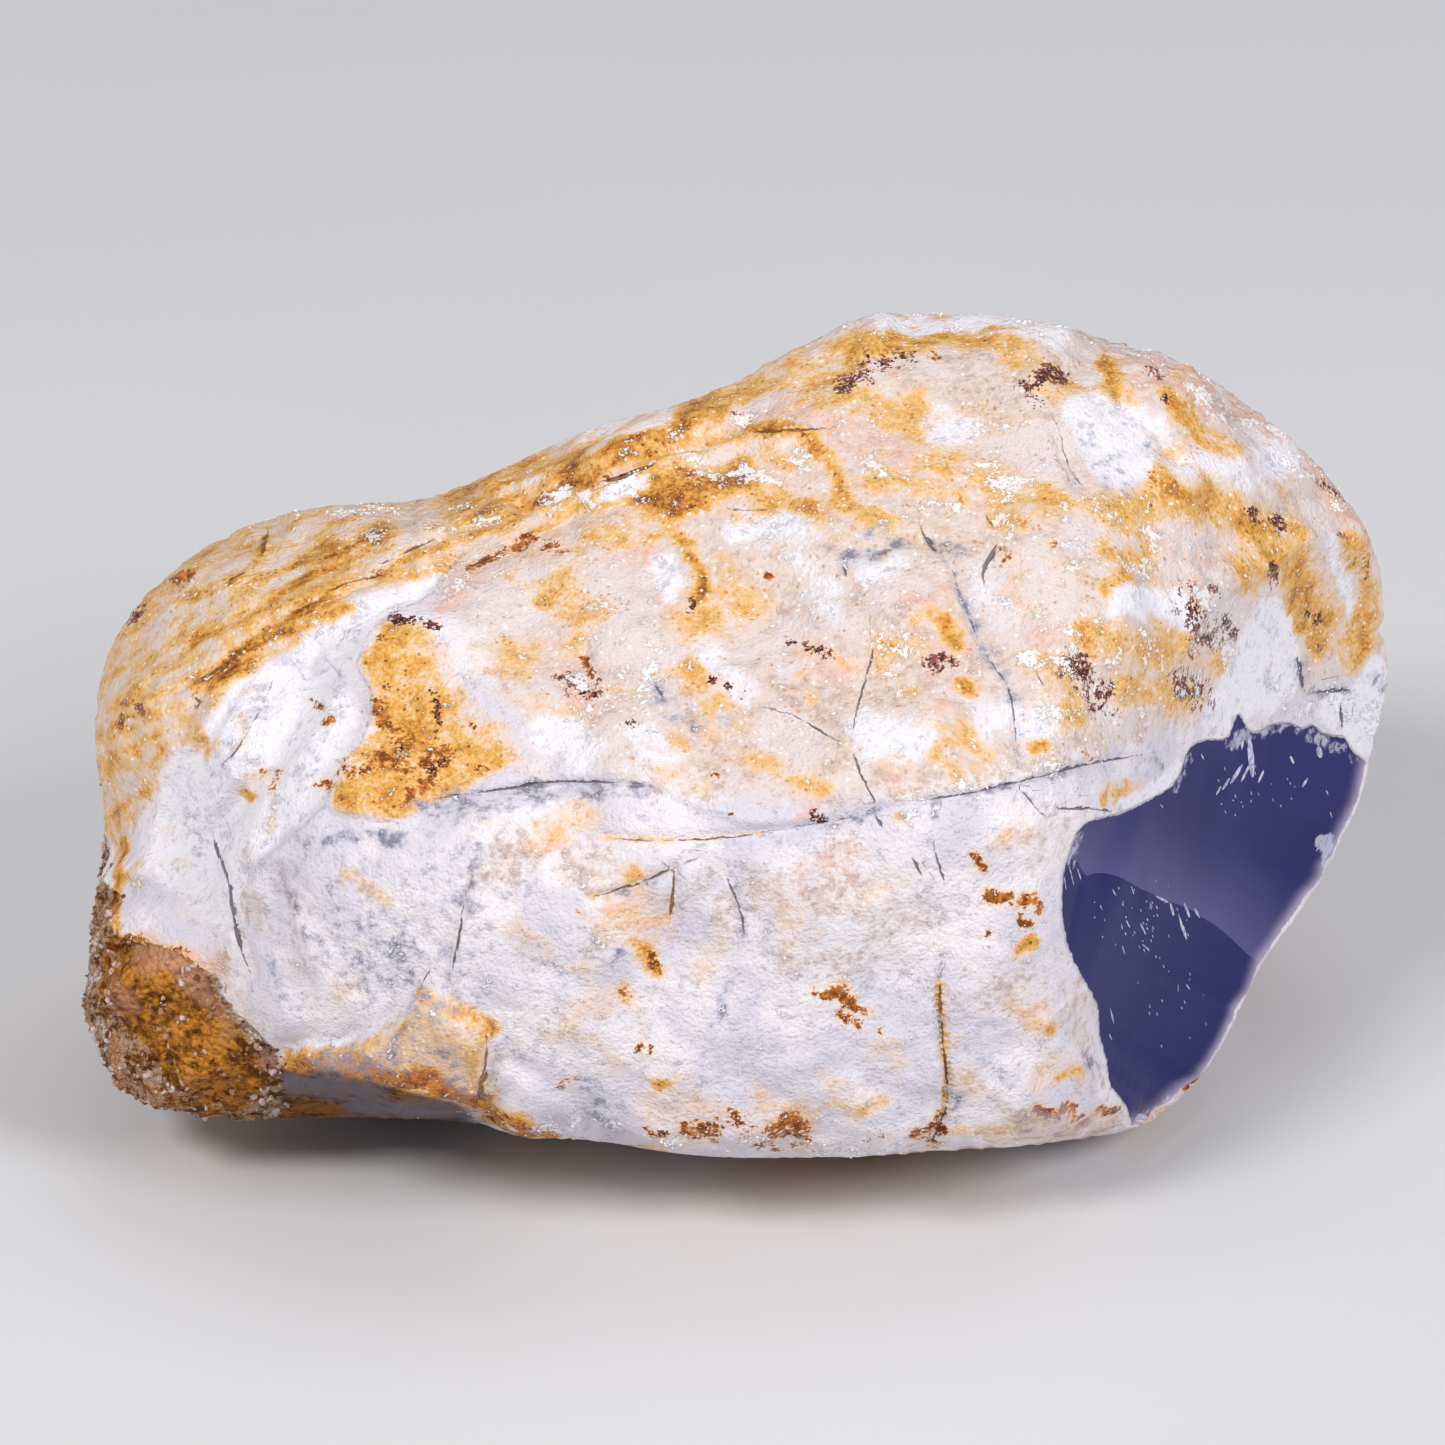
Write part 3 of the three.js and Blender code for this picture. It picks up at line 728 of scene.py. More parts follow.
# grey-blue slate washes: some are the rind's own tint; those along the seams and the knee's lower line,
# under the ledge and the lip's edge, at the hollow's left edge and over the front left are painted shade
slate_and_shade_washes = [
    (9, 0.8, (408, 1113), (440, 1117), (478, 1121)), (60, 0.47, (310, 900), (440, 980)),
    (9, 0.34, (266, 688), (252, 716), (236, 740), (220, 758)), (6, 0.6, (600, 893), (640, 887), (668, 874)),
    (6, 0.6, (673, 866), (672, 890)), (9, 0.45, (600, 786), (650, 788)),
    (8, 0.45, (700, 846), (760, 838), (840, 826)), (8, 0.5, (900, 812), (960, 800), (1010, 790)),
    (8, 0.5, (735, 870), (744, 915), (742, 940)), (7, 0.5, (728, 980), (722, 1015), (708, 1050)),
    (8, 0.6, (300, 840), (340, 838), (370, 836)), (8, 0.95, (385, 836), (398, 838)),
    (10, 0.5, (420, 825), (450, 812)), (14, 0.6, (460, 860), (470, 880), (465, 900)),
    (6, 0.7, (478, 850), (472, 870)), (16, 0.6, (425, 812), (470, 802), (520, 796), (590, 790)),
    (6, 0.75, (515, 793), (545, 785)), (5, 0.9, (635, 783), (648, 785)), (10, 0.5, (270, 955), (280, 1000)),
    (8, 0.5, (280, 1040)), (22, 0.42, (310, 950), (360, 980)), (18, 0.42, (400, 940), (440, 920)),
    (16, 0.5, (665, 690), (690, 730)), (7, 0.7, (655, 685), (665, 700)), (5, 0.8, (720, 721)),
    (10, 0.75, (850, 560), (870, 552), (900, 545)), (7, 0.65, (865, 535), (880, 530)),
    (9, 0.55, (920, 545), (960, 550)), (7, 0.6, (950, 560), (965, 600), (975, 630)),
    (9, 0.6, (985, 650), (1005, 675), (1010, 700)), (7, 0.5, (1015, 720), (1017, 760)),
    (12, 0.48, (1080, 430), (1110, 490)), (14, 0.45, (1110, 470), (1130, 490)),
    (7, 0.55, (1150, 445), (1100, 470)), (5, 0.7, (1073, 470), (1080, 488)),
    (12, 0.5, (600, 960), (590, 945)), (5, 0.9, (612, 965), (621, 953)),
    (15, 0.55, (585, 1088), (605, 1110), (615, 1130)), (12, 0.5, (540, 1120), (560, 1125)),
    (14, 0.42, (700, 1080), (715, 1040)), (8, 0.5, (505, 1035), (520, 1060)),
    (9, 0.55, (958, 1090), (958, 1112)), (14, 0.45, (970, 1060), (1000, 1075)),
    (20, 0.52, (335, 1060), (400, 1052), (450, 1050), (468, 1080)), (5, 0.8, (1310, 692), (1350, 690)),
    (8, 0.65, (1372, 680), (1386, 685)), (6, 0.6, (1298, 665), (1303, 690)),
    (6, 0.65, (880, 812), (845, 820)), (5, 0.6, (935, 800), (938, 825)), (5, 0.85, (990, 788), (1010, 783)),
    (5, 0.75, (1050, 778), (1080, 766)), (5, 0.55, (1160, 765), (1140, 760)),
    (8, 0.55, (1040, 805), (1020, 790)), (6, 0.45, (937, 850), (945, 880)),
    (12, 0.6, (330, 1085), (345, 1080)), (10, 0.6, (350, 1107), (400, 1107), (440, 1114)),
    (16, 0.4, (700, 920), (680, 900)), (14, 0.4, (770, 900), (780, 950)),
    (18, 0.42, (520, 950), (560, 980)), (14, 0.4, (420, 880), (500, 890)),
    (16, 0.38, (860, 1080), (880, 1110)), (22, 0.45, (1000, 1122), (1060, 1130), (1115, 1132)),
    (9, 0.6, (1085, 1050), (1100, 1070)), (8, 0.45, (1095, 815), (1120, 812)),
    (6, 0.55, (1260, 400), (1280, 420)),
]
hollow_patch = [(1055, 400), (1100, 385), (1150, 420), (1160, 470), (1130, 497), (1090, 480), (1072, 440)]
right_patch = [
    (1262, 595), (1292, 600), (1300, 650), (1300, 690), (1285, 706), (1250, 722), (1205, 738), (1203, 705),
    (1235, 650), (1243, 625),
]
rim_patch = [
    (1350, 690), (1372, 655), (1392, 665), (1388, 720), (1375, 760), (1355, 748), (1330, 730), (1310, 705),
]
seam_patch = [
    (1120, 800), (1180, 760), (1200, 735), (1230, 738), (1180, 790), (1150, 805), (1120, 818), (1080, 825),
]
chalk_patches = [
    (10, 0.85, flaked), (12, 0.85, hollow_patch), (9, 0.95, right_patch), (7, 0.95, rim_patch),
    (8, 0.9, seam_patch),
]
chalk_washes = [
    (4, 0.95, (283, 1045), (310, 1042), (342, 1045)),
    (5, 0.85, (348, 1038), (377, 1026), (403, 1010), (410, 990)), (22, 0.95, (550, 735), (582, 752)),
    (13, 0.95, (665, 570), (672, 585)), (15, 0.95, (1010, 485)),
    (15, 0.95, (1115, 605), (1150, 600), (1182, 612)), (6, 1.0, (1330, 540), (1342, 580), (1353, 612)),
    (14, 0.8, (900, 560), (870, 575)), (20, 0.7, (830, 600), (800, 560)),
    (20, 0.75, (740, 530), (800, 530)), (22, 0.7, (960, 430), (930, 420)),
    (24, 0.7, (1190, 460), (1250, 480), (1285, 450)),
    (12, 0.8, (880, 325), (950, 322), (1010, 320), (1060, 335)),
    (12, 0.7, (560, 440), (620, 425), (670, 415)), (9, 0.7, (500, 492), (540, 478)),
    (24, 0.75, (1090, 400), (1150, 430)), (10, 0.8, (625, 490), (600, 492), (645, 480)),
    (24, 0.5, (1000, 620), (990, 580)), (26, 0.7, (640, 730), (660, 760)),
    (22, 0.7, (700, 650), (740, 690)), (24, 0.8, (870, 730), (920, 740)),
    (24, 0.7, (1050, 720), (990, 720)),
]
pink_washes = [
    (16, 0.95, (150, 955), (180, 962), (200, 975)), (9, 0.6, (212, 1000), (226, 1030)),
    (9, 0.5, (120, 985), (130, 1010)), (16, 0.7, (450, 590), (475, 572)), (11, 0.8, (455, 600), (440, 612)),
    (14, 0.5, (530, 645), (570, 640)), (16, 0.75, (560, 675), (582, 698)),
    (12, 0.75, (640, 548), (650, 560)), (18, 0.5, (620, 560), (690, 590)),
    (12, 0.7, (760, 470), (775, 485)), (16, 0.65, (870, 580), (905, 592)),
    (16, 0.6, (930, 600), (940, 585)), (18, 0.6, (1010, 600), (1045, 640)),
    (16, 0.55, (860, 440), (900, 460)), (22, 0.7, (1150, 370), (1230, 410)),
    (14, 0.7, (1270, 420), (1320, 480)), (16, 0.75, (1340, 500), (1352, 522)),
    (24, 0.5, (780, 400), (850, 430), (920, 470)), (12, 0.6, (735, 418)), (14, 0.6, (870, 340), (890, 365)),
    (16, 0.6, (110, 660), (140, 630)), (16, 0.6, (930, 660), (960, 640)),
    (16, 0.55, (810, 650), (840, 670)), (14, 0.55, (1190, 590), (1210, 600)),
    (12, 0.6, (900, 770), (940, 700)), (9, 0.6, (803, 812), (820, 800)), (14, 0.55, (640, 720)),
    (18, 0.34, (850, 860), (800, 870)), (26, 0.5, (615, 908), (645, 928)),
    (12, 0.55, (860, 350), (870, 380)), (12, 0.6, (290, 545), (240, 545)),
    (16, 0.55, (120, 760), (115, 700)), (18, 0.5, (1180, 560), (1230, 540)),
]
milky_washes = [
    (14, 0.45, (390, 1046), (420, 1040), (460, 1050)), (38, 0.9, (500, 610), (550, 600)),
    (34, 0.85, (600, 590), (630, 630), (660, 660)),
    (14, 0.8, (150, 590), (190, 605), (250, 575), (290, 570)), (12, 0.7, (280, 540), (330, 535)),
    (16, 0.75, (380, 555), (420, 535), (440, 530)), (16, 0.8, (1075, 540), (1120, 530)),
    (18, 0.75, (1030, 450), (1050, 470)), (18, 0.7, (1190, 540), (1240, 530)),
    (16, 0.6, (700, 670), (690, 700)), (16, 0.55, (770, 465), (790, 480)),
    (14, 0.6, (1180, 580), (1160, 560)), (12, 0.6, (225, 985), (240, 1020)),
    (18, 0.6, (720, 420), (690, 430)),
]
upper_outline = [
    (440, 540), (560, 400), (700, 330), (900, 270), (1150, 290), (1420, 480), (1420, 660), (1200, 720),
    (1060, 770), (840, 810), (600, 780), (530, 740), (470, 640),
]
lobe_outline = [
    (60, 860), (40, 600), (250, 430), (600, 360), (700, 430), (560, 540), (440, 570), (340, 606),
    (285, 658), (243, 667), (215, 715), (160, 765), (125, 850),
]
cream_washes = [
    (40, 0.48, (560, 850), (640, 900), (760, 900), (860, 880), (900, 930)),
    (36, 0.45, (980, 980), (1060, 1000)), (28, 0.45, (780, 950), (850, 960)),
    (12, 0.7, (215, 960), (225, 1000), (250, 1035)), (24, 0.85, (400, 1050), (450, 1045), (480, 1080)),
    (18, 0.5, (150, 860), (200, 900)), (18, 0.45, (280, 880), (300, 900)),
    (16, 0.5, (1080, 990), (1090, 1080)), (22, 0.45, (300, 760), (280, 740)),
    (30, 0.5, (480, 880), (560, 830)), (26, 0.45, (1040, 860), (1060, 830)),
]
sugar_washes = [
    (14, 1.0, (560, 500), (600, 484), (640, 464), (690, 442), (740, 434)),
    (20, 0.7, (650, 450), (720, 460), (790, 470)), (22, 0.5, (370, 555), (420, 530), (480, 520)),
    (10, 0.8, (340, 505), (400, 505)), (8, 0.7, (250, 524), (290, 518)),
    (34, 0.6, (600, 610), (640, 640), (620, 680)), (26, 0.6, (560, 670), (600, 710), (640, 720)),
    (26, 0.7, (860, 450), (900, 480), (950, 500)), (30, 0.6, (990, 440), (1040, 480), (1000, 520)),
    (28, 0.7, (1080, 520), (1130, 560), (1160, 540)), (34, 0.7, (1080, 620), (1100, 660), (1140, 690)),
    (20, 0.6, (1200, 600), (1220, 640), (1190, 690)),
    (14, 0.8, (1150, 355), (1230, 395), (1300, 450), (1350, 510)),
    (14, 0.5, (860, 315), (960, 315), (1080, 335)), (18, 0.6, (1010, 620), (1040, 680), (1060, 740)),
    (16, 0.7, (1290, 700), (1330, 700), (1370, 720)), (12, 0.6, (900, 805), (1000, 788), (1100, 768)),
    (30, 0.35, (800, 560), (880, 600), (900, 680)), (10, 0.7, (1130, 1128), (1180, 1105), (1230, 1040)),
    (14, 0.4, (430, 600), (460, 570), (500, 560)), (10, 0.6, (500, 1118), (700, 1140), (900, 1140)),
]

# each crack's width in squares, its tone from slate to brown, and its course
cracks = [
    # painted shadow: a thin dark line along the lip's edge, where its step turns away from the light
    (0.45, 0.1, *lip_edge[1:10]),
    (1.4, 0.0, (213, 832), (215, 845), (222, 862), (229, 880), (232, 905), (236, 930), (243, 955),
     (252, 976)),
    (0.8, 0.3, (464, 905), (460, 935), (455, 955), (452, 972)), (0.6, 0.2, (430, 970), (420, 988)),
    (0.5, 0.9, (947, 955), (941, 972), (940, 985)), (1.2, 1.0, (940, 983), (940, 1016)),
    (0.6, 0.9, (940, 1015), (944, 1050), (947, 1085), (947, 1105)),
    (1.6, 0.6, (947, 1105), (940, 1125), (932, 1142)),
    (0.5, 0.5, (604, 838), (640, 841), (700, 840), (735, 837), (790, 828)),
    (0.45, 0.2, (790, 828), (840, 820), (880, 808)),
    (0.6, 0.4, (590, 898), (620, 889), (650, 880), (672, 868), (700, 858)),
    (1.2, 0.7, (674, 864), (674, 885), (670, 916)),
    (0.7, 0.0, (905, 802), (935, 799), (985, 790), (1010, 783), (1040, 777), (1080, 765), (1110, 760),
     (1160, 752)),
    (0.6, 0.4, (428, 800), (470, 793), (515, 788), (545, 781), (600, 782), (655, 784)),
    (0.6, 0.1, (870, 612), (870, 635), (874, 650), (868, 670), (858, 705), (850, 740)),
    (0.7, 0.3, (853, 752), (860, 775), (870, 790), (875, 806)),
    (0.6, 0.5, (740, 709), (760, 706), (800, 717), (830, 738), (850, 745)),
    (1.1, 0.0, (921, 528), (930, 545), (937, 553)),
    (0.45, 0.0, (950, 560), (958, 590), (970, 620), (980, 645)),
    (0.45, 0.0, (980, 645), (995, 668), (1010, 690), (1015, 720), (1017, 760)),
    (1.4, 0.0, (997, 545), (990, 558), (982, 572), (984, 584)), (0.5, 0.2, (985, 515), (995, 530)),
    (0.6, 0.0, (726, 508), (745, 511), (770, 509)), (0.9, 0.0, (842, 565), (848, 578)),
    (0.5, 0.2, (1032, 665), (1045, 688)), (1.0, 0.2, (875, 815), (885, 830)),
    (0.8, 0.4, (912, 858), (922, 875)), (0.9, 0.0, (932, 838), (937, 860), (945, 882)),
    (1.0, 0.1, (1020, 790), (1030, 800), (1043, 815)), (0.8, 0.1, (1056, 809), (1085, 808), (1116, 812)),
    (1.7, 0.9, (487, 1045), (486, 1065), (480, 1090), (476, 1105)),
    (0.7, 0.1, (722, 865), (732, 890), (742, 915), (744, 940)), (0.8, 0.0, (655, 685), (665, 700)),
    (0.8, 0.8, (330, 592), (345, 583), (385, 575)), (0.6, 0.5, (375, 567), (420, 545), (450, 533)),
    (0.8, 0.9, (470, 566), (500, 553)), (1.1, 0.9, (655, 463), (620, 478), (600, 482)),
    (0.8, 0.9, (750, 432), (800, 430), (830, 428)), (0.9, 0.0, (1296, 655), (1300, 670), (1302, 690)),
    (1.2, 0.0, (1312, 692), (1352, 690)), (0.8, 0.0, (1340, 700), (1342, 730)),
    (0.7, 0.9, (225, 583), (245, 572)), (1.2, 0.9, (262, 556), (264, 545), (268, 530)),
    # painted shade: a dark line along the hollow's curved left edge
    (0.5, 0.2, (1050, 412), (1060, 432), (1064, 455), (1074, 478), (1090, 492)),
]

# cracks on the unseen side, drawn on a sheet that stands behind the stone
cracks_behind = [
    (0.9, 0.2, (500, 640), (560, 690), (600, 760)),
    (0.8, 0.1, (820, 560), (870, 640), (860, 720), (890, 800)),
    (0.8, 0.6, (400, 860), (470, 900), (560, 905)), (1.0, 0.3, (900, 900), (960, 960), (980, 1040)),
    (0.7, 0.2, (640, 980), (700, 1010), (780, 1005)), (0.8, 0.0, (1050, 620), (1090, 680), (1080, 740)),
]


def crack_marks(places, courses, reach):
    """Squares to one side or the other of the nearest crack, with that crack's width and tone there."""
    side = np.full(len(places), reach)
    nearest = np.full(len(places), reach)
    width_here = np.zeros(len(places))
    tone_here = np.zeros(len(places))
    for width, tone, *course in courses:
        here = nearby(places, course, reach)
        course = rounded(course, closed=False)
        runs = np.diff(course, axis=0)
        lengths = np.hypot(runs[:, 0], runs[:, 1])
        passed = np.concatenate([[0], np.cumsum(lengths)])
        for start, run, length, before in zip(course, runs, lengths, passed):
            arm = places[here] - start
            share = np.clip(arm @ run / length**2, 0, 1)
            away = arm - share[:, None] * run
            distance = np.hypot(away[:, 0], away[:, 1])
            across = (run[0] * arm[:, 1] - run[1] * arm[:, 0]) / length
            gone = (before + share * length) / passed[-1]
            closer = distance < nearest[here] - 1e-6
            chosen = here[closer]
            nearest[chosen] = distance[closer]
            side[chosen] = across[closer]
            width_here[chosen] = width * np.sqrt(np.sin(np.pi * gone[closer]) + 0.02)
            tone_here[chosen] = tone
    return side, width_here * ramp(-nearest, -reach, -reach * 0.6), tone_here


crack_reach = 15.0
from_behind = np.array([-1, -1, 1])
seen_lines = crack_marks(marks, cracks, crack_reach)
unseen_lines = crack_marks(on_sheet(spots * from_behind), cracks_behind, crack_reach)
line_side, line_width, line_tone = [
    np.where(facing > 0.3, here, there) for here, there in zip(seen_lines, unseen_lines)
]

# the break's border: the drawn edge of the rind, and at the right its rim, where the scoops run out
rim_course = [
    (1383, 768), (1360, 800), (1343, 840), (1320, 884), (1293, 925), (1263, 960), (1244, 1000),
    (1225, 1042), (1197, 1083), (1155, 1121), (1134, 1134),
]
rim_outline = [(1000, 700), *rim_course, (1000, 1134)]
rim_width = 0.32
rim_overlap = 0.25
rim_core = 35
rim_end = 70
rim_top = 900
window_side = inside_distance(marks, window_drawn) * square
at_rim = ramp(-line_distance(marks, rim_course), -rim_end, -rim_core)
rim_side = inside_distance(marks, rim_outline) * square - rim_width
rim_in = break_depth - rim_overlap
rim_in = np.where((facing > 0.2) & (marks[:, 1] > rim_top), np.maximum(rim_in, rim_side), rim_in)
rim_depth = rim_in + 4 * (1 - at_rim)
window = np.clip(np.minimum(window_side, np.where(break_depth > -2.5, rim_depth, break_depth)), -2, 2)

# the lower of the two facets, painted darker as shade; above the arris a painted milky sheen; the pale rim;
# the frosted edges
lower_facet = [
    (1030, 840), (1064, 845), (1076, 858), (1084, 874), (1088, 877), (1092, 873), (1108, 873), (1125, 879),
    (1140, 889), (1150, 892), (1160, 900), (1175, 903), (1190, 909), (1200, 916), (1215, 925), (1230, 937),
    (1245, 952), (1262, 966), (1300, 1000), (1300, 1240), (1000, 1240),
]
sheen_course = [(1088, 868), (1110, 872), (1150, 890), (1210, 918), (1262, 962)]
sheen_reach = 85
frost_washes = [
    (7, 0.6, (1232, 745), (1245, 735), (1270, 728), (1290, 722)),
    (7, 0.5, (1300, 728), (1330, 742), (1352, 756)), (5, 0.5, (1192, 756), (1186, 772), (1174, 790)),
    (5, 0.9, (1140, 1122), (1165, 1110), (1178, 1100)), (5, 0.9, (1322, 845), (1330, 838), (1324, 860)),
    (6, 0.4, (1080, 835), (1068, 862)),
]
arris = np.clip(inside_distance(marks, lower_facet) * square, -4, 4)
# painted sheen: how strongly the milky band shows, fading away from the arris
arris_sheen = np.clip(1 - line_distance(marks, sheen_course) / sheen_reach, 0, 1) ** 1.4
rim_milk = at_rim * np.clip(1 - rim_in / 1.0, 0, 1) ** 1.8

# the undercut of the lower front, painted shade: dark brown and grey where it faces down under the ledge
shaded_under_side = [
    (262, 1066), (285, 1072), (320, 1071), (352, 1072), (380, 1082), (404, 1090), (432, 1098), (476, 1110),
    (484, 1160), (180, 1160), (240, 1100),
]
grey_shade_washes = [
    (10, 0.9, (285, 1082), (330, 1084), (374, 1092)),
    (7, 0.9, (350, 1106), (400, 1108), (440, 1112), (474, 1118)),
]

# pigments by chance, for the unseen side: size in millimetres and the noise's start
chance = {
    name: rough_noise(spots, size, 4, start)
    for name, size, start in [
        ("ochre", 12, 60), ("cream", 18, 90), ("rust", 6, 120), ("plum", 5, 150), ("slate", 9, 180),
        ("pink", 10, 210), ("chalk", 8, 240),
    ]
}
ochre_cloud = ramp(chance["ochre"] + 0.5 * mottle, -0.5, 0.5)
ochre_heart = ramp(chance["ochre"] + 0.3 * mottle, 0.2, 0.9)
behind = {
    "cream": ramp(chance["cream"], -0.5, 0.1),
    "iron": 0.34 * ochre_cloud + 0.5 * ochre_heart,
    "rust": 0.8 * ramp(chance["rust"], 0.55, 0.9),
    "plum": 0.8 * ramp(chance["plum"], 0.65, 1.0),
    "slate": 0.6 * ramp(chance["slate"], 0.45, 0.9),
    "pink": 0.7 * ramp(chance["pink"], 0.2, 0.6),
    "chalk": 0.9 * ramp(chance["chalk"], 0.25, 0.6),
    "milky": 0.7 * ramp(-chance["cream"], -0.3, 0.2),
}

# on the seen side the lobe is streaked ochre, and the upper half is creamy with ochre clouds
lobe_skin = washed([], [(14, 1.0, lobe_outline)])
upper_skin = washed([], [(30, 1.0, upper_outline)])
cream = np.maximum(washed(cream_washes, [(5, 1.0, ledge)]), np.maximum(lobe_skin, 0.85 * upper_skin))
knee_fade = washed([(30, 0.6, (450, 640), (475, 690), (525, 735))])
chalk_over = ramp(washed(chalk_washes, chalk_patches[1:]), 0.35, 0.9)
iron = 0.93 * washed(ochre_washes, [(7, 0.68, knee_patch), (6, 0.42, ledge)]) * (1 - knee_fade)
iron = np.maximum(iron, washed(heel_strokes, [(13, 0.85, heel_ochre)]))
iron = iron * (1 + 0.5 * lobe_skin * streaks)
for more in [
    lobe_skin * np.clip(0.38 + 0.30 * streaks + 0.16 * mottle + 0.1 * drift, 0, 1),
    0.48 * upper_skin * ramp(drift + 0.5 * mottle, -0.15, 0.85),
    0.24 * ramp(chance["ochre"] + 0.5 * mottle, 0.15, 0.8),
    0.55 * washed(rust_washes, soft=1.8),
]:
    iron = np.maximum(iron, more)
iron = iron * (1 - 0.75 * chalk_over)
seen = {
    "cream": cream,
    "iron": iron,
    "rust": washed(rust_washes, soft=0.6),
    "plum": washed(plum_washes, soft=1.1),
    "slate": washed(slate_and_shade_washes),
    "pink": washed(pink_washes),
    "chalk": washed(chalk_washes, chalk_patches),
    "milky": np.maximum(washed(milky_washes), 0.8 * upper_skin * ramp(-drift - 0.3 * mottle, -0.05, 0.5)),
}
amounts = {name: facing * seen[name] + (1 - facing) * behind[name] for name in seen}

# no grain of quartz reaches down through the floor
off_floor = ramp(surface[:, 2], 0.3, 0.6)
sugar_behind = 0.5 * ramp(chance["chalk"], 0.2, 0.6)
sugar_amount = (facing * washed(sugar_washes) + (1 - facing) * sugar_behind) * ramp(mottle, -0.1, 0.5)
amounts.update({
    "crust": crust,
    "crust_grains": off_floor * crust * (0.2 + 0.8 * ramp(-iron, -0.9, -0.3)),
    "sugar": off_floor * sugar_amount * ramp(-window, 0.2, 0.5),
    "window": window,
    "arris": arris,
    "arris_sheen": arris_sheen,
    "rim_milk": rim_milk,
    "frost": washed(frost_washes),
    # under and under_grey carry the painted shade of the undercut
    "under": washed([], [(7, 1.0, shaded_under_side)]),
    "under_grey": washed(grey_shade_washes),
    "drift": drift,
    "mottle": mottle,
    "line_side": line_side,
    "line_width": line_width,
    "line_tone": line_tone,
})


# ---------------------------------------------------------------- finish of the stone
# One natural skin with many minerals in it: bluish chalk, waxy cream and pink silica, ochre and rust stains,
# dark cracks, sugary crust, and the blue-violet chalcedony of the break with its milky band, which is
# painted sheen. Grey and brown painted shade lies on the undercut, the seams and the lower facet.

def colour(red, green, blue):
    share = np.array([red, green, blue]) / 255
    linear = np.where(share > 0.04045, ((share + 0.055) / 1.055) ** 2.4, share / 12.92)
    return (*linear, 1.0)


def new_tree(name, kind, inputs, outputs):
    """An empty node tree with named sockets, and its input and output nodes."""
    tree = bpy.data.node_groups.new(name, kind)
    for direction, sockets in (("INPUT", inputs), ("OUTPUT", outputs)):
        for title, sort in sockets.items():
            tree.interface.new_socket(title, in_out=direction, socket_type="NodeSocket" + sort)
    return tree, tree.nodes.new("NodeGroupInput").outputs, tree.nodes.new("NodeGroupOutput").inputs


def add(tree, kind, inputs=None, **settings):
    """A new node in a tree; each input gets a value, or a link where it is given a socket."""
    node = tree.nodes.new(kind)
    for name, value in settings.items():
        setattr(node, name, value)
    for name, value in (inputs or {}).items():
        if isinstance(value, bpy.types.NodeSocket):
            tree.links.new(value, node.inputs[name])
        else:
            node.inputs[name].default_value = value
    return node


# the fine grain that the rind, the quartz, the slivers and the floor share
mineral, given, result = new_tree(
    "mineral grain", "ShaderNodeTree",
    {"Place": "Vector", "Patch size": "Float", "Grain size": "Float"}, {"Tone": "Float", "Height": "Float"},
)
for size_name, detail, result_name in [("Patch size", 2.0, "Tone"), ("Grain size", 1.0, "Height")]:
    fineness = add(mineral, "ShaderNodeMath", {0: 1.0, 1: given[size_name]}, operation="DIVIDE")
    clouds = add(mineral, "ShaderNodeTexNoise", {
        "Vector": given["Place"],
        "Scale": fineness.outputs[0],
        "Detail": detail,
    })
    mineral.links.new(clouds.outputs["Fac"], result[result_name])


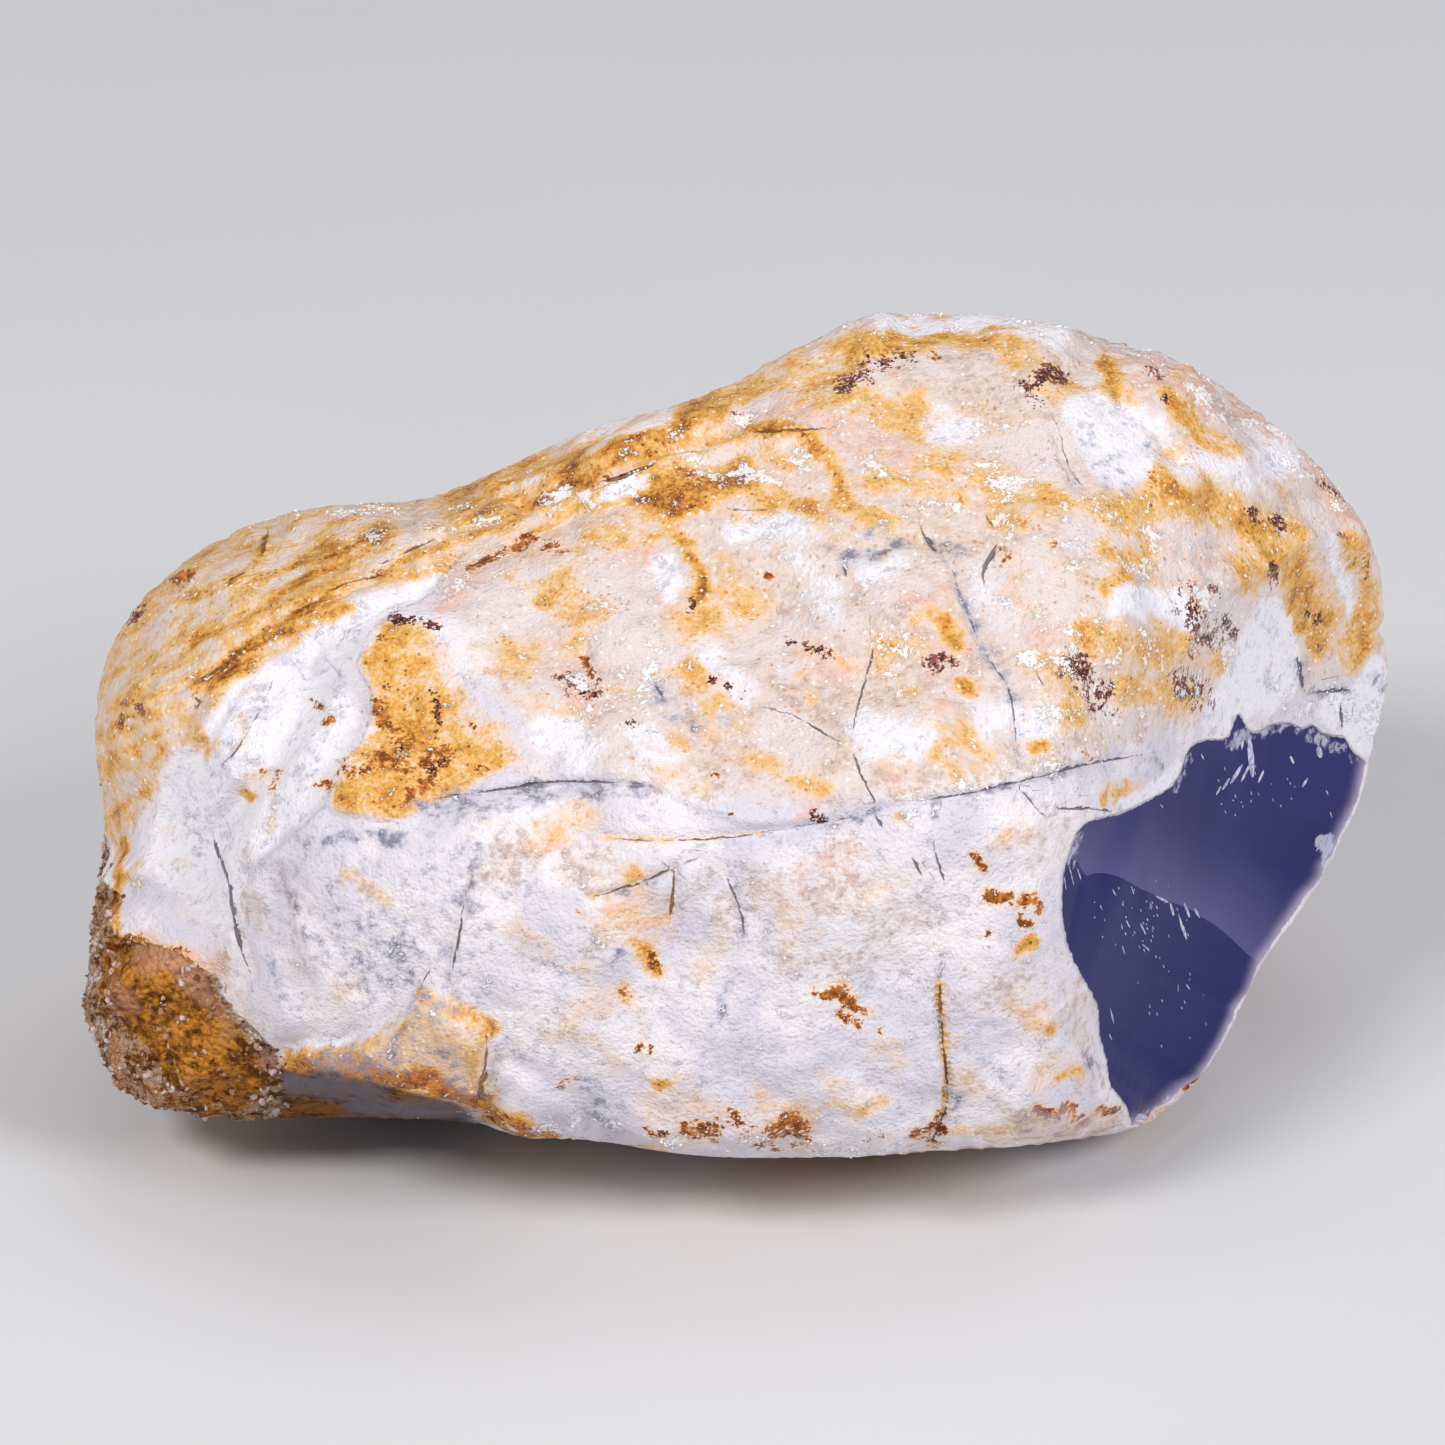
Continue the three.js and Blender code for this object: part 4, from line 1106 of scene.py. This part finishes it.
class Finish:
    """A material with one shader, whose patterns are laid in millimetres on the stone."""

    millimetres = (1000, 1000, 1000)

    def __init__(self, name):
        self.material = bpy.data.materials.new(name)
        self.material.use_nodes = True
        self.tree = self.material.node_tree
        self.tree.nodes.clear()
        place = self.add("ShaderNodeTexCoord").outputs["Object"]
        scale = self.add("ShaderNodeMapping", {"Vector": place, "Scale": self.millimetres})
        self.place = scale.outputs["Vector"]

    def add(self, kind, inputs=None, **settings):
        return add(self.tree, kind, inputs, **settings)

    def amount(self, name):
        return self.add("ShaderNodeAttribute", attribute_name=name).outputs["Fac"]

    def clouds(self, size, detail=3.0, roughness=0.55):
        values = {"Vector": self.place, "Scale": 1 / size, "Detail": detail, "Roughness": roughness}
        return self.add("ShaderNodeTexNoise", values).outputs["Fac"]

    def grained(self, patch_size, grain_size):
        values = {"Place": self.place, "Patch size": patch_size, "Grain size": grain_size}
        node = self.add("ShaderNodeGroup", values, node_tree=mineral)
        return node.outputs["Tone"], node.outputs["Height"]

    def cells(self, size):
        node = self.add("ShaderNodeTexVoronoi", {"Vector": self.place, "Scale": 1 / size})
        split = self.add("ShaderNodeSeparateColor", {"Color": node.outputs["Color"]})
        return node.outputs["Distance"], split.outputs["Red"]

    def shades(self, value, stops):
        node = self.add("ShaderNodeValToRGB", {"Fac": value})
        ramp_stops = node.color_ramp.elements
        while len(ramp_stops) < len(stops):
            ramp_stops.new(1.0)
        for stop, (place, shade) in zip(ramp_stops, stops):
            stop.position = place
            stop.color = shade
        return node.outputs["Color"]

    def sum(self, a, b, kind="ADD"):
        return self.add("ShaderNodeMath", {0: a, 1: b}, operation=kind).outputs[0]

    def times(self, a, b):
        return self.sum(a, b, "MULTIPLY")

    def about_zero(self, value, gain):
        return self.times(self.sum(value, 0.5, "SUBTRACT"), gain)

    def step(self, value, low, high, start=0.0, end=1.0):
        values = {"Value": value, "From Min": low, "From Max": high, "To Min": start, "To Max": end}
        return self.add("ShaderNodeMapRange", values, interpolation_type="SMOOTHSTEP").outputs["Result"]

    def blend(self, share, a, b):
        return self.add("ShaderNodeMix", {0: share, 6: a, 7: b}, data_type="RGBA").outputs[2]

    def level(self, share, a, b):
        return self.add("ShaderNodeMix", {0: share, 2: a, 3: b}, data_type="FLOAT").outputs[0]

    def ragged(self, amount, uneven, raggedness, sharpness):
        kept = self.step(amount, 0.0, 0.3)
        uneven = self.sum(amount, self.times(self.times(uneven, raggedness), kept))
        return self.step(uneven, 0.5 - sharpness, 0.5 + sharpness)

    def shade(self, base, roughness, height, depth, more=None):
        bump = self.add("ShaderNodeBump", {"Height": height, "Distance": depth})
        values = {"Base Color": base, "Roughness": roughness, "Normal": bump.outputs["Normal"]}
        shader = self.add("ShaderNodeBsdfPrincipled", {**values, **(more or {})})
        self.add("ShaderNodeOutputMaterial", {"Surface": shader.outputs["BSDF"]})


stone = Finish("chalcedony rind and break")
slow_grain, grain = stone.grained(3.0, 0.25)
speckle = stone.clouds(0.7, 4.0, 0.7)
pepper = stone.clouds(0.22, 2.0)
drift_here = stone.sum(stone.amount("drift"), stone.sum(slow_grain, 0.5, "SUBTRACT"))
mottle_here = stone.amount("mottle")
fine_mottle = stone.sum(stone.times(mottle_here, 0.25), stone.about_zero(speckle, 2.0))
broken = stone.sum(stone.times(fine_mottle, 1.2), stone.about_zero(pepper, 1.6))

# dark and pale specks, and the clouds that some of them are strewn in
distance, chosen = stone.cells(0.38)
speck_shape = stone.step(stone.sum(distance, stone.times(pepper, 0.8)), 0.62, 0.74, 1.0, 0.0)
strewn_here = stone.step(stone.clouds(2.4, 2.0), 0.44, 0.58)
dark_speck = stone.times(speck_shape, stone.step(chosen, 0.72, 0.75))
pale_speck = stone.times(speck_shape, stone.step(chosen, 0.15, 0.18, 1.0, 0.0))

# chalk under cream, pink, milky and white chalky skins
chalk = stone.blend(stone.step(drift_here, -0.5, 0.5), colour(218, 212, 223), colour(240, 231, 234))
chalk = stone.blend(stone.step(fine_mottle, 0.0, 0.45, 0.0, 0.75), chalk, colour(200, 194, 210))
cream_colour = stone.blend(stone.step(fine_mottle, -0.2, 0.3), colour(226, 207, 198), colour(202, 175, 162))
base = stone.blend(stone.ragged(stone.amount("cream"), fine_mottle, 0.6, 0.3), chalk, cream_colour)
pink_here = stone.ragged(stone.amount("pink"), fine_mottle, 0.8, 0.45)
base = stone.blend(pink_here, base, colour(232, 186, 170))
milky_here = stone.ragged(stone.amount("milky"), fine_mottle, 0.6, 0.4)
base = stone.blend(stone.times(milky_here, 0.85), base, colour(230, 217, 216))
chalk_here = stone.ragged(stone.amount("chalk"), fine_mottle, 0.9, 0.25)
chalk_white = stone.blend(stone.step(fine_mottle, 0.0, 0.4), colour(240, 236, 242), colour(214, 210, 222))
base = stone.blend(chalk_here, base, chalk_white)

# the iron stain goes from pale peach to dark brown, and is spongy at its borders
iron_here = stone.amount("iron")
sponge = stone.sum(stone.times(mottle_here, 0.3), stone.about_zero(speckle, 1.1))
sponge = stone.sum(sponge, stone.about_zero(pepper, 0.9))
iron_here = stone.sum(iron_here, stone.times(sponge, stone.step(iron_here, 0.0, 0.6, 0.15, 0.85)))
iron_here = stone.times(iron_here, 0.88)
stain = stone.shades(iron_here, [
    (0.08, colour(244, 220, 202)), (0.30, colour(240, 198, 152)), (0.50, colour(230, 178, 100)),
    (0.68, colour(210, 144, 60)), (0.84, colour(158, 94, 36)), (1.0, colour(96, 54, 26)),
])
stained = stone.step(iron_here, 0.05, 0.5)
base = stone.blend(stained, base, stain)

# specks, rust, slate, plum and sugar; the slate is partly painted shade
in_iron = stone.times(dark_speck, stone.step(iron_here, 0.22, 0.6, 0.0, 0.85))
base = stone.blend(in_iron, base, colour(118, 66, 28))
freckled = stone.times(stone.times(dark_speck, strewn_here), stone.step(chalk_here, 0.0, 1.0, 1.0, 0.1))
freckled = stone.times(freckled, stone.step(stone.amount("cream"), 0.3, 0.9, 0.08, 0.8))
base = stone.blend(freckled, base, colour(208, 138, 74))
in_cream = stone.times(pale_speck, stone.step(stone.amount("cream"), 0.3, 0.9, 0.0, 0.8))
base = stone.blend(in_cream, base, colour(248, 244, 244))
rust_here = stone.ragged(stone.amount("rust"), broken, 1.2, 0.14)
rust_colour = stone.blend(stone.step(speckle, 0.42, 0.62), colour(204, 126, 60), colour(124, 64, 26))
base = stone.blend(rust_here, base, rust_colour)
# partly painted shade: the slate grey is laid where those washes stand for shade
slate = stone.amount("slate")
slate = stone.sum(slate, stone.times(fine_mottle, stone.step(slate, 0.0, 0.5)))
slate_colour = stone.blend(stone.step(slate, 0.4, 1.0), colour(194, 194, 210), colour(112, 114, 136))
base = stone.blend(stone.times(stone.step(slate, 0.1, 0.9), 0.85), base, slate_colour)
plum_here = stone.ragged(stone.amount("plum"), broken, 1.6, 0.12)
plum_colour = stone.blend(stone.step(grain, 0.4, 0.6), colour(140, 80, 70), colour(70, 34, 34))
base = stone.blend(plum_here, base, plum_colour)
sugar_here = stone.sum(stone.times(stone.amount("sugar"), 0.75), stone.times(broken, 0.9))
sugar_here = stone.step(sugar_here, 0.40, 0.52)
base = stone.blend(stone.times(sugar_here, 0.85), base, colour(250, 246, 248))

# the undercut, painted dark as shade, and the heel's crust
# painted shade: the downward-facing undercut is tinted dark brown and grey
under_shade_here = stone.step(stone.amount("under"), 0.1, 0.9)
under_shade_colour = stone.blend(stone.step(fine_mottle, -0.2, 0.3), colour(138, 92, 50), colour(66, 42, 24))
under_shade_colour = stone.blend(stone.amount("under_grey"), under_shade_colour, colour(120, 114, 124))
base = stone.blend(under_shade_here, base, under_shade_colour)
crust_here = stone.ragged(stone.amount("crust"), fine_mottle, 0.5, 0.2)
crust_colour = stone.blend(stone.step(fine_mottle, -0.1, 0.25), colour(186, 152, 126), colour(92, 56, 34))
heel_colour = stone.blend(stone.step(fine_mottle, -0.25, 0.25), colour(206, 134, 50), colour(104, 60, 24))
crust_colour = stone.blend(stone.step(iron_here, 0.3, 0.6), crust_colour, heel_colour)
crust_colour = stone.blend(stone.times(pink_here, 0.85), crust_colour, colour(204, 148, 116))
base = stone.blend(crust_here, base, crust_colour)

# cracks are uneven in width, and stray a little from their courses
width = stone.times(stone.amount("line_width"), stone.step(speckle, 0.3, 0.55, 0.4, 1.3))
width = stone.times(width, stone.step(stone.clouds(1.6, 2.0), 0.40, 0.58, 0.45, 1.15))
side = stone.sum(stone.amount("line_side"), stone.about_zero(speckle, 7.0))
side = stone.sum(side, 0.0, "ABSOLUTE")
line_shape = stone.step(stone.sum(side, width, "DIVIDE"), 0.3, 1.7, 1.0, 0.0)
line_here = stone.times(line_shape, stone.step(width, 0.15, 0.75))
line_tint = stone.step(stone.amount("line_tone"), 0.0, 1.0)
line_colour = stone.blend(line_tint, colour(104, 104, 122), colour(158, 88, 34))
base = stone.blend(stone.times(line_here, 0.85), base, line_colour)

# the blue-violet break: painted shade on the lower facet, painted milky sheen above the arris, a pale rim
# and frosted edges
window_amount = stone.amount("window")
window_here = stone.step(stone.sum(window_amount, stone.about_zero(speckle, 0.35)), 0.0, 0.08)
upper_side = stone.step(stone.amount("arris"), -0.02, 0.02, 1.0, 0.0)
window_colour = stone.blend(stone.step(drift_here, -0.5, 0.5), colour(48, 46, 99), colour(53, 51, 105))
# painted shade: the lower facet, which faces down, is darker
window_colour = stone.blend(stone.step(upper_side, 0.0, 1.0, 0.7, 0.0), window_colour, colour(42, 42, 97))
# painted sheen: a milky band where the upper facet turns up towards the light
sheen_here = stone.times(stone.amount("arris_sheen"), upper_side)
window_colour = stone.blend(stone.times(sheen_here, 0.8), window_colour, colour(98, 94, 142))
rim_here = stone.times(stone.amount("rim_milk"), 0.9)
window_colour = stone.blend(rim_here, window_colour, colour(190, 178, 196))
frost_here = stone.ragged(stone.amount("frost"), fine_mottle, 0.9, 0.2)
window_colour = stone.blend(stone.times(frost_here, 0.8), window_colour, colour(196, 196, 214))
base = stone.blend(window_here, base, window_colour)

# dull chalk, waxy cream and stains, and a smooth break
waxy_cream = stone.step(stone.amount("cream"), 0.3, 0.7)
roughness = stone.level(waxy_cream, 0.88, 0.5)
for share, smoothness in [
    (milky_here, 0.36), (chalk_here, 0.9), (stained, 0.5), (crust_here, 0.45), (window_here, 0.3),
]:
    roughness = stone.level(share, roughness, smoothness)
height = stone.sum(stone.times(grain, 0.35), stone.times(speckle, 0.65))
for share, proud in [(pepper, 0.3), (line_here, -1.2), (sugar_here, 0.2)]:
    height = stone.sum(height, stone.times(share, proud))
height = stone.sum(height, stone.times(crust_here, stone.times(distance, -1.2)))
height = stone.times(height, stone.step(window_amount, -0.1, 0.1, 1.0, 0.02))
waxy = stone.sum(stone.step(stone.amount("cream"), 0.3, 0.8), milky_here, "MAXIMUM")
waxy = stone.times(waxy, stone.step(chalk_here, 0.0, 1.0, 1.0, 0.1))
stone.shade(base, roughness, height, 0.00032, {
    "Specular IOR Level": 0.05,
    "Coat Roughness": 0.35,
    "Coat Weight": stone.times(waxy, stone.step(window_here, 0.0, 1.0, 0.35, 0.0)),
})


def stone_mesh(name, points, triangles, amounts, material):
    mesh = bpy.data.meshes.new(name)
    mesh.vertices.add(len(points))
    mesh.vertices.foreach_set("co", (points * 0.001).astype(np.float32).ravel())
    mesh.loops.add(triangles.size)
    mesh.loops.foreach_set("vertex_index", triangles.astype(np.int32).ravel())
    mesh.polygons.add(len(triangles))
    mesh.polygons.foreach_set("loop_start", np.arange(0, triangles.size, 3, dtype=np.int32))
    mesh.update(calc_edges=True)
    mesh.polygons.foreach_set("use_smooth", np.ones(len(triangles), bool))
    for title, values in amounts.items():
        layer = mesh.attributes.new(title, "FLOAT", "POINT")
        layer.data.foreach_set("value", values.astype(np.float32))
    mesh.materials.append(material)
    mesh.validate()
    thing = bpy.data.objects.new(name, mesh)
    bpy.context.scene.collection.objects.link(thing)
    return thing


nodule = stone_mesh("chalcedony", surface, triangles, amounts, stone.material)
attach(nodule, "root")
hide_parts("chalcedony_nodule")


# ---------------------------------------------------------------- quartz grains and sugar
# Drusy quartz has grown on the heel, and finer sugar glitters along the crest, the brow and the dome.
# Each grain is a small many-sided crystal, half sunk in the rind.

quartz = Finish("drusy quartz")
tinge, facets = quartz.grained(2.8, 0.15)
quartz_colour = quartz.blend(quartz.step(tinge, 0.42, 0.58), colour(204, 188, 184), colour(172, 122, 76))
rusty = quartz.step(quartz.clouds(1.1, 2.0), 0.48, 0.60)
quartz_colour = quartz.blend(rusty, quartz_colour, colour(120, 72, 36))
quartz.shade(quartz_colour, 0.25, facets, 0.00005)
sugar = Finish("white sugar quartz")
tinge, facets = sugar.grained(1.2, 0.15)
sugar_colour = sugar.blend(sugar.step(tinge, 0.45, 0.65), colour(250, 248, 250), colour(226, 208, 202))
sugar.shade(sugar_colour, 0.3, facets, 0.00003)


def bodies_on_places(tree, roundness, places, turn, size, finish):
    """Small many-sided bodies, one on every place, made real and given their finish."""
    body = add(tree, "GeometryNodeMeshIcoSphere", {"Radius": 1.0, "Subdivisions": roundness})
    placed = add(tree, "GeometryNodeInstanceOnPoints", {
        "Points": places,
        "Instance": body.outputs["Mesh"],
        "Rotation": turn,
        "Scale": size,
    })
    real = add(tree, "GeometryNodeRealizeInstances", {"Geometry": placed.outputs["Instances"]})
    bodies = real.outputs["Geometry"]
    finished = add(tree, "GeometryNodeSetMaterial", {"Geometry": bodies, "Material": finish})
    return finished.outputs["Geometry"]


# strew small crystals over a skin, as thick as its named amount says
strewing, given, result = new_tree(
    "strewn quartz", "GeometryNodeTree",
    {
        "Skin": "Geometry",
        "Amount name": "String",
        "Grains per square metre": "Float",
        "Smallest": "Float",
        "Largest": "Float",
        "Seed": "Int",
        "Finish": "Material",
    },
    {"Grains": "Geometry"},
)
amount = add(strewing, "GeometryNodeInputNamedAttribute", {"Name": given["Amount name"]}, data_type="FLOAT")
density = add(strewing, "ShaderNodeMath", {
    0: amount.outputs["Attribute"],
    1: given["Grains per square metre"],
}, operation="MULTIPLY")
strewn = add(strewing, "GeometryNodeDistributePointsOnFaces", {
    "Mesh": given["Skin"],
    "Density": density.outputs[0],
    "Seed": given["Seed"],
})
full_circle = 6.28
any_turn = {"Max": (full_circle, full_circle, full_circle), "Seed": given["Seed"]}
any_size = {"Min": given["Smallest"], "Max": given["Largest"], "Seed": given["Seed"]}
turn, size = [
    add(strewing, "FunctionNodeRandomValue", values, data_type="FLOAT_VECTOR").outputs["Value"]
    for values in (any_turn, any_size)
]
crystals = bodies_on_places(strewing, 1, strewn.outputs["Points"], turn, size, given["Finish"])
strewing.links.new(crystals, result["Grains"])


def grown_piece(name, mesh, tree, values):
    """A plain mesh of what the tree makes from a mesh, with its named inputs set."""
    thing = bpy.data.objects.new(name, mesh)
    bpy.context.scene.collection.objects.link(thing)
    maker = thing.modifiers.new("maker", "NODES")
    maker.node_group = tree
    for item in tree.interface.items_tree:
        if item.name in values:
            maker[item.identifier] = values[item.name]
    seen_by_all = thing.evaluated_get(bpy.context.evaluated_depsgraph_get())
    result = bpy.data.meshes.new_from_object(seen_by_all)
    thing.modifiers.remove(maker)
    thing.data = result
    return thing


for name, amount, thickness, smallest, largest, seed, finish in [
    ("quartz_crust", "crust_grains", 4.0e6, 0.00006, 0.00030, 3, quartz.material),
    ("quartz_sugar", "sugar", 6.0e6, 0.00002, 0.00012, 5, sugar.material),
]:
    grains = grown_piece(name, nodule.data, strewing, {
        "Amount name": amount,
        "Grains per square metre": thickness,
        "Smallest": smallest,
        "Largest": largest,
        "Seed": seed,
        "Finish": finish,
    })
    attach(grains, "root")


# ---------------------------------------------------------------- chips on the break
# Small whitish slivers of the same stone still cling to the broken face along the arris and below the
# rind, where they were crushed loose by the blow. Each is a thin flake that lies flat on the face.

# each chip's width in squares and its two ends
chip_marks = [
    (4.6, (1170, 903), (1174, 916)), (6.0, (1176, 906), (1187, 940)), (4.0, (1184, 903), (1190, 918)),
    (3.4, (1194, 908), (1200, 918)), (2.6, (1156, 896), (1169, 903)), (6.0, (1230, 784), (1243, 764)),
    (4.6, (1222, 790), (1230, 778)), (4.6, (1241, 782), (1250, 764)), (3.0, (1216, 795), (1221, 786)),
    (4.2, (1258, 783), (1264, 770)), (11.0, (1249, 738), (1253, 778)), (6.0, (1243, 732), (1242, 750)),
    (9.0, (1317, 747), (1322, 757)), (4.0, (1302, 787), (1308, 778)), (3.4, (1290, 756), (1294, 764)),
    (2.4, (1323, 838), (1316, 852)), (3.2, (1330, 832), (1325, 846)), (2.0, (1112, 889), (1116, 896)),
    (1.6, (1131, 886), (1134, 895)), (2.0, (1069, 866), (1074, 886)), (1.8, (1064, 876), (1066, 890)),
    (2.0, (1077, 868), (1081, 880)), (2.0, (1140, 923), (1146, 935)), (1.8, (1126, 920), (1130, 928)),
    (1.6, (1178, 984), (1178, 992)), (2.0, (1110, 1008), (1114, 1024)), (1.6, (1109, 1034), (1112, 1040)),
    (1.6, (1186, 984), (1190, 990)), (1.6, (1142, 944), (1150, 951)), (1.6, (1201, 754), (1204, 760)),
    (1.4, (1160, 804), (1163, 808)), (1.4, (1100, 905), (1102, 910)), (1.4, (1122, 945), (1125, 955)),
    (1.4, (1150, 905), (1152, 910)), (1.4, (1326, 790), (1328, 795)), (1.6, (1330, 812), (1332, 818)),
]

# clouds of chip dust: middle, reach across and down, and how many
dust_clouds = [((1138, 918), (38, 34), 46), ((1255, 790), (60, 26), 22), ((1180, 990), (45, 60), 18)]
dust_spread = 0.6
dust_run = np.array([0.35, 0.93])
dust_dice = np.random.default_rng(11)
for cloud_middle, reach, number in dust_clouds:
    for _ in range(number):
        start = np.array(cloud_middle) + dust_dice.normal(size=2) * reach * dust_spread
        end = start + dust_dice.uniform(1.2, 4.0) * dust_run
        chip_marks.append((dust_dice.uniform(0.9, 1.8), start, end))
outward = point_normals(surface)
seen_from_front = np.where(facing > 0.5)[0]


def on_stone(place):
    """The point of the skin that is seen at a place on the sheet, and the way it faces."""
    nearest = seen_from_front[np.argmin(np.sum((marks[seen_from_front] - place) ** 2, axis=1))]
    out = outward[nearest]
    across_sheet = np.array([1.0, 0, 0]) * (place[0] - marks[nearest][0])
    up_sheet = -upward * (place[1] - marks[nearest][1])
    step_over = (across_sheet + up_sheet) * square
    to_viewer = to_eye[nearest]
    step_over = step_over - to_viewer * (step_over @ out) / (to_viewer @ out)
    return surface[nearest] + step_over, out


# the middles and half sizes of the chips are in metres
half_thickness = 0.00004
chip_places = []
chip_turns = []
chip_sizes = []
for width, start, end in chip_marks:
    tail, out = on_stone(np.array(start, float))
    head, _ = on_stone(np.array(end, float))
    run = Vector(head - tail)
    sideways = Vector(out).cross(run).normalized()
    upright = run.cross(sideways).normalized()
    turned = Matrix((run.normalized(), sideways, upright)).transposed().to_euler()
    chip_places.append((tail + head) / 2000)
    chip_turns.append(tuple(turned))
    chip_sizes.append((run.length / 2000, width * square / 2000, half_thickness))

chip_tree, given, result = new_tree(
    "chips", "GeometryNodeTree", {"Places": "Geometry", "Finish": "Material"}, {"Chips": "Geometry"},
)
turn, size = [
    add(chip_tree, "GeometryNodeInputNamedAttribute", {"Name": title}, data_type="FLOAT_VECTOR").outputs[0]
    for title in ("turn", "size")
]
slivers = bodies_on_places(chip_tree, 2, given["Places"], turn, size, given["Finish"])
chip_tree.links.new(slivers, result["Chips"])
sliver = Finish("whitish slivers")
tinge, facets = sliver.grained(0.4, 0.15)
sliver_colour = sliver.blend(sliver.step(tinge, 0.4, 0.6), colour(150, 148, 184), colour(206, 206, 222))
sliver.shade(sliver_colour, 0.4, facets, 0.00002)
chip_seeds = bpy.data.meshes.new("chip places")
chip_seeds.vertices.add(len(chip_places))
chip_seeds.vertices.foreach_set("co", np.array(chip_places, np.float32).ravel())
for title, values in [("turn", chip_turns), ("size", chip_sizes)]:
    layer = chip_seeds.attributes.new(title, "FLOAT_VECTOR", "POINT")
    layer.data.foreach_set("vector", np.array(values, np.float32).ravel())
chips = grown_piece("break_chips", chip_seeds, chip_tree, {"Finish": sliver.material})
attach(chips, "root")


# ---------------------------------------------------------------- floor, light and camera
# A plain pale floor, three large soft lamps and an even, pale surrounding light. The camera looks down
# at the flat front by 25 degrees.

floor_finish = Finish("pale floor")
tinge, facets = floor_finish.grained(90.0, 0.5)
floor_shade = floor_finish.blend(tinge, colour(214, 214, 216), colour(220, 220, 222))
floor_finish.shade(floor_shade, 0.6, facets, 0.00001)
floor_half = 2.0
floor_corners = [(x * floor_half, y * floor_half, 0) for x, y in [(-1, -1), (1, -1), (1, 1), (-1, 1)]]
floor_mesh = bpy.data.meshes.new("floor")
floor_mesh.from_pydata(floor_corners, [], [(0, 1, 2, 3)])
floor_mesh.materials.append(floor_finish.material)
floor = bpy.data.objects.new("floor", floor_mesh)
bpy.context.scene.collection.objects.link(floor)

# each lamp's place and width in metres, its strength in watts, and its tint
lamps = {
    "key lamp": ((-0.5, -0.55, 0.72), 0.3, 5.7, (1.0, 0.98, 0.95)),
    "fill lamp": ((0.62, -0.55, 0.58), 0.4, 5.3, (0.97, 0.98, 1.0)),
    "top lamp": ((0.1, 0.3, 0.9), 0.6, 1.3, (1, 1, 1)),
}
lamp_aim = Vector((0, 0, 0.02))
for name, (place, size, watts, tint) in lamps.items():
    light = bpy.data.lights.new(name, "AREA")
    light.shape = "DISK"
    light.size = size
    light.energy = watts
    light.color = tint
    lamp = bpy.data.objects.new(name, light)
    lamp.location = place
    lamp.rotation_euler = (lamp_aim - Vector(place)).to_track_quat("-Z", "Y").to_euler()
    bpy.context.scene.collection.objects.link(lamp)

world = bpy.data.worlds.new("studio")
world.use_nodes = True
world.node_tree.nodes["Background"].inputs["Color"].default_value = (0.9, 0.92, 1.0, 1)
world.node_tree.nodes["Background"].inputs["Strength"].default_value = 0.30
bpy.context.scene.world = world
bpy.context.scene.view_settings.view_transform = "Standard"

lens = bpy.data.cameras.new("camera")
lens.sensor_width = 36
lens.lens = lens.sensor_width * sheet_reach / squares
lens.clip_end = 10
camera = bpy.data.objects.new("camera", lens)
camera.location = (eye + onto_origin) * 0.001
camera.rotation_euler = (math.pi / 2 - view_tilt, 0, 0)
bpy.context.scene.collection.objects.link(camera)
bpy.context.scene.camera = camera
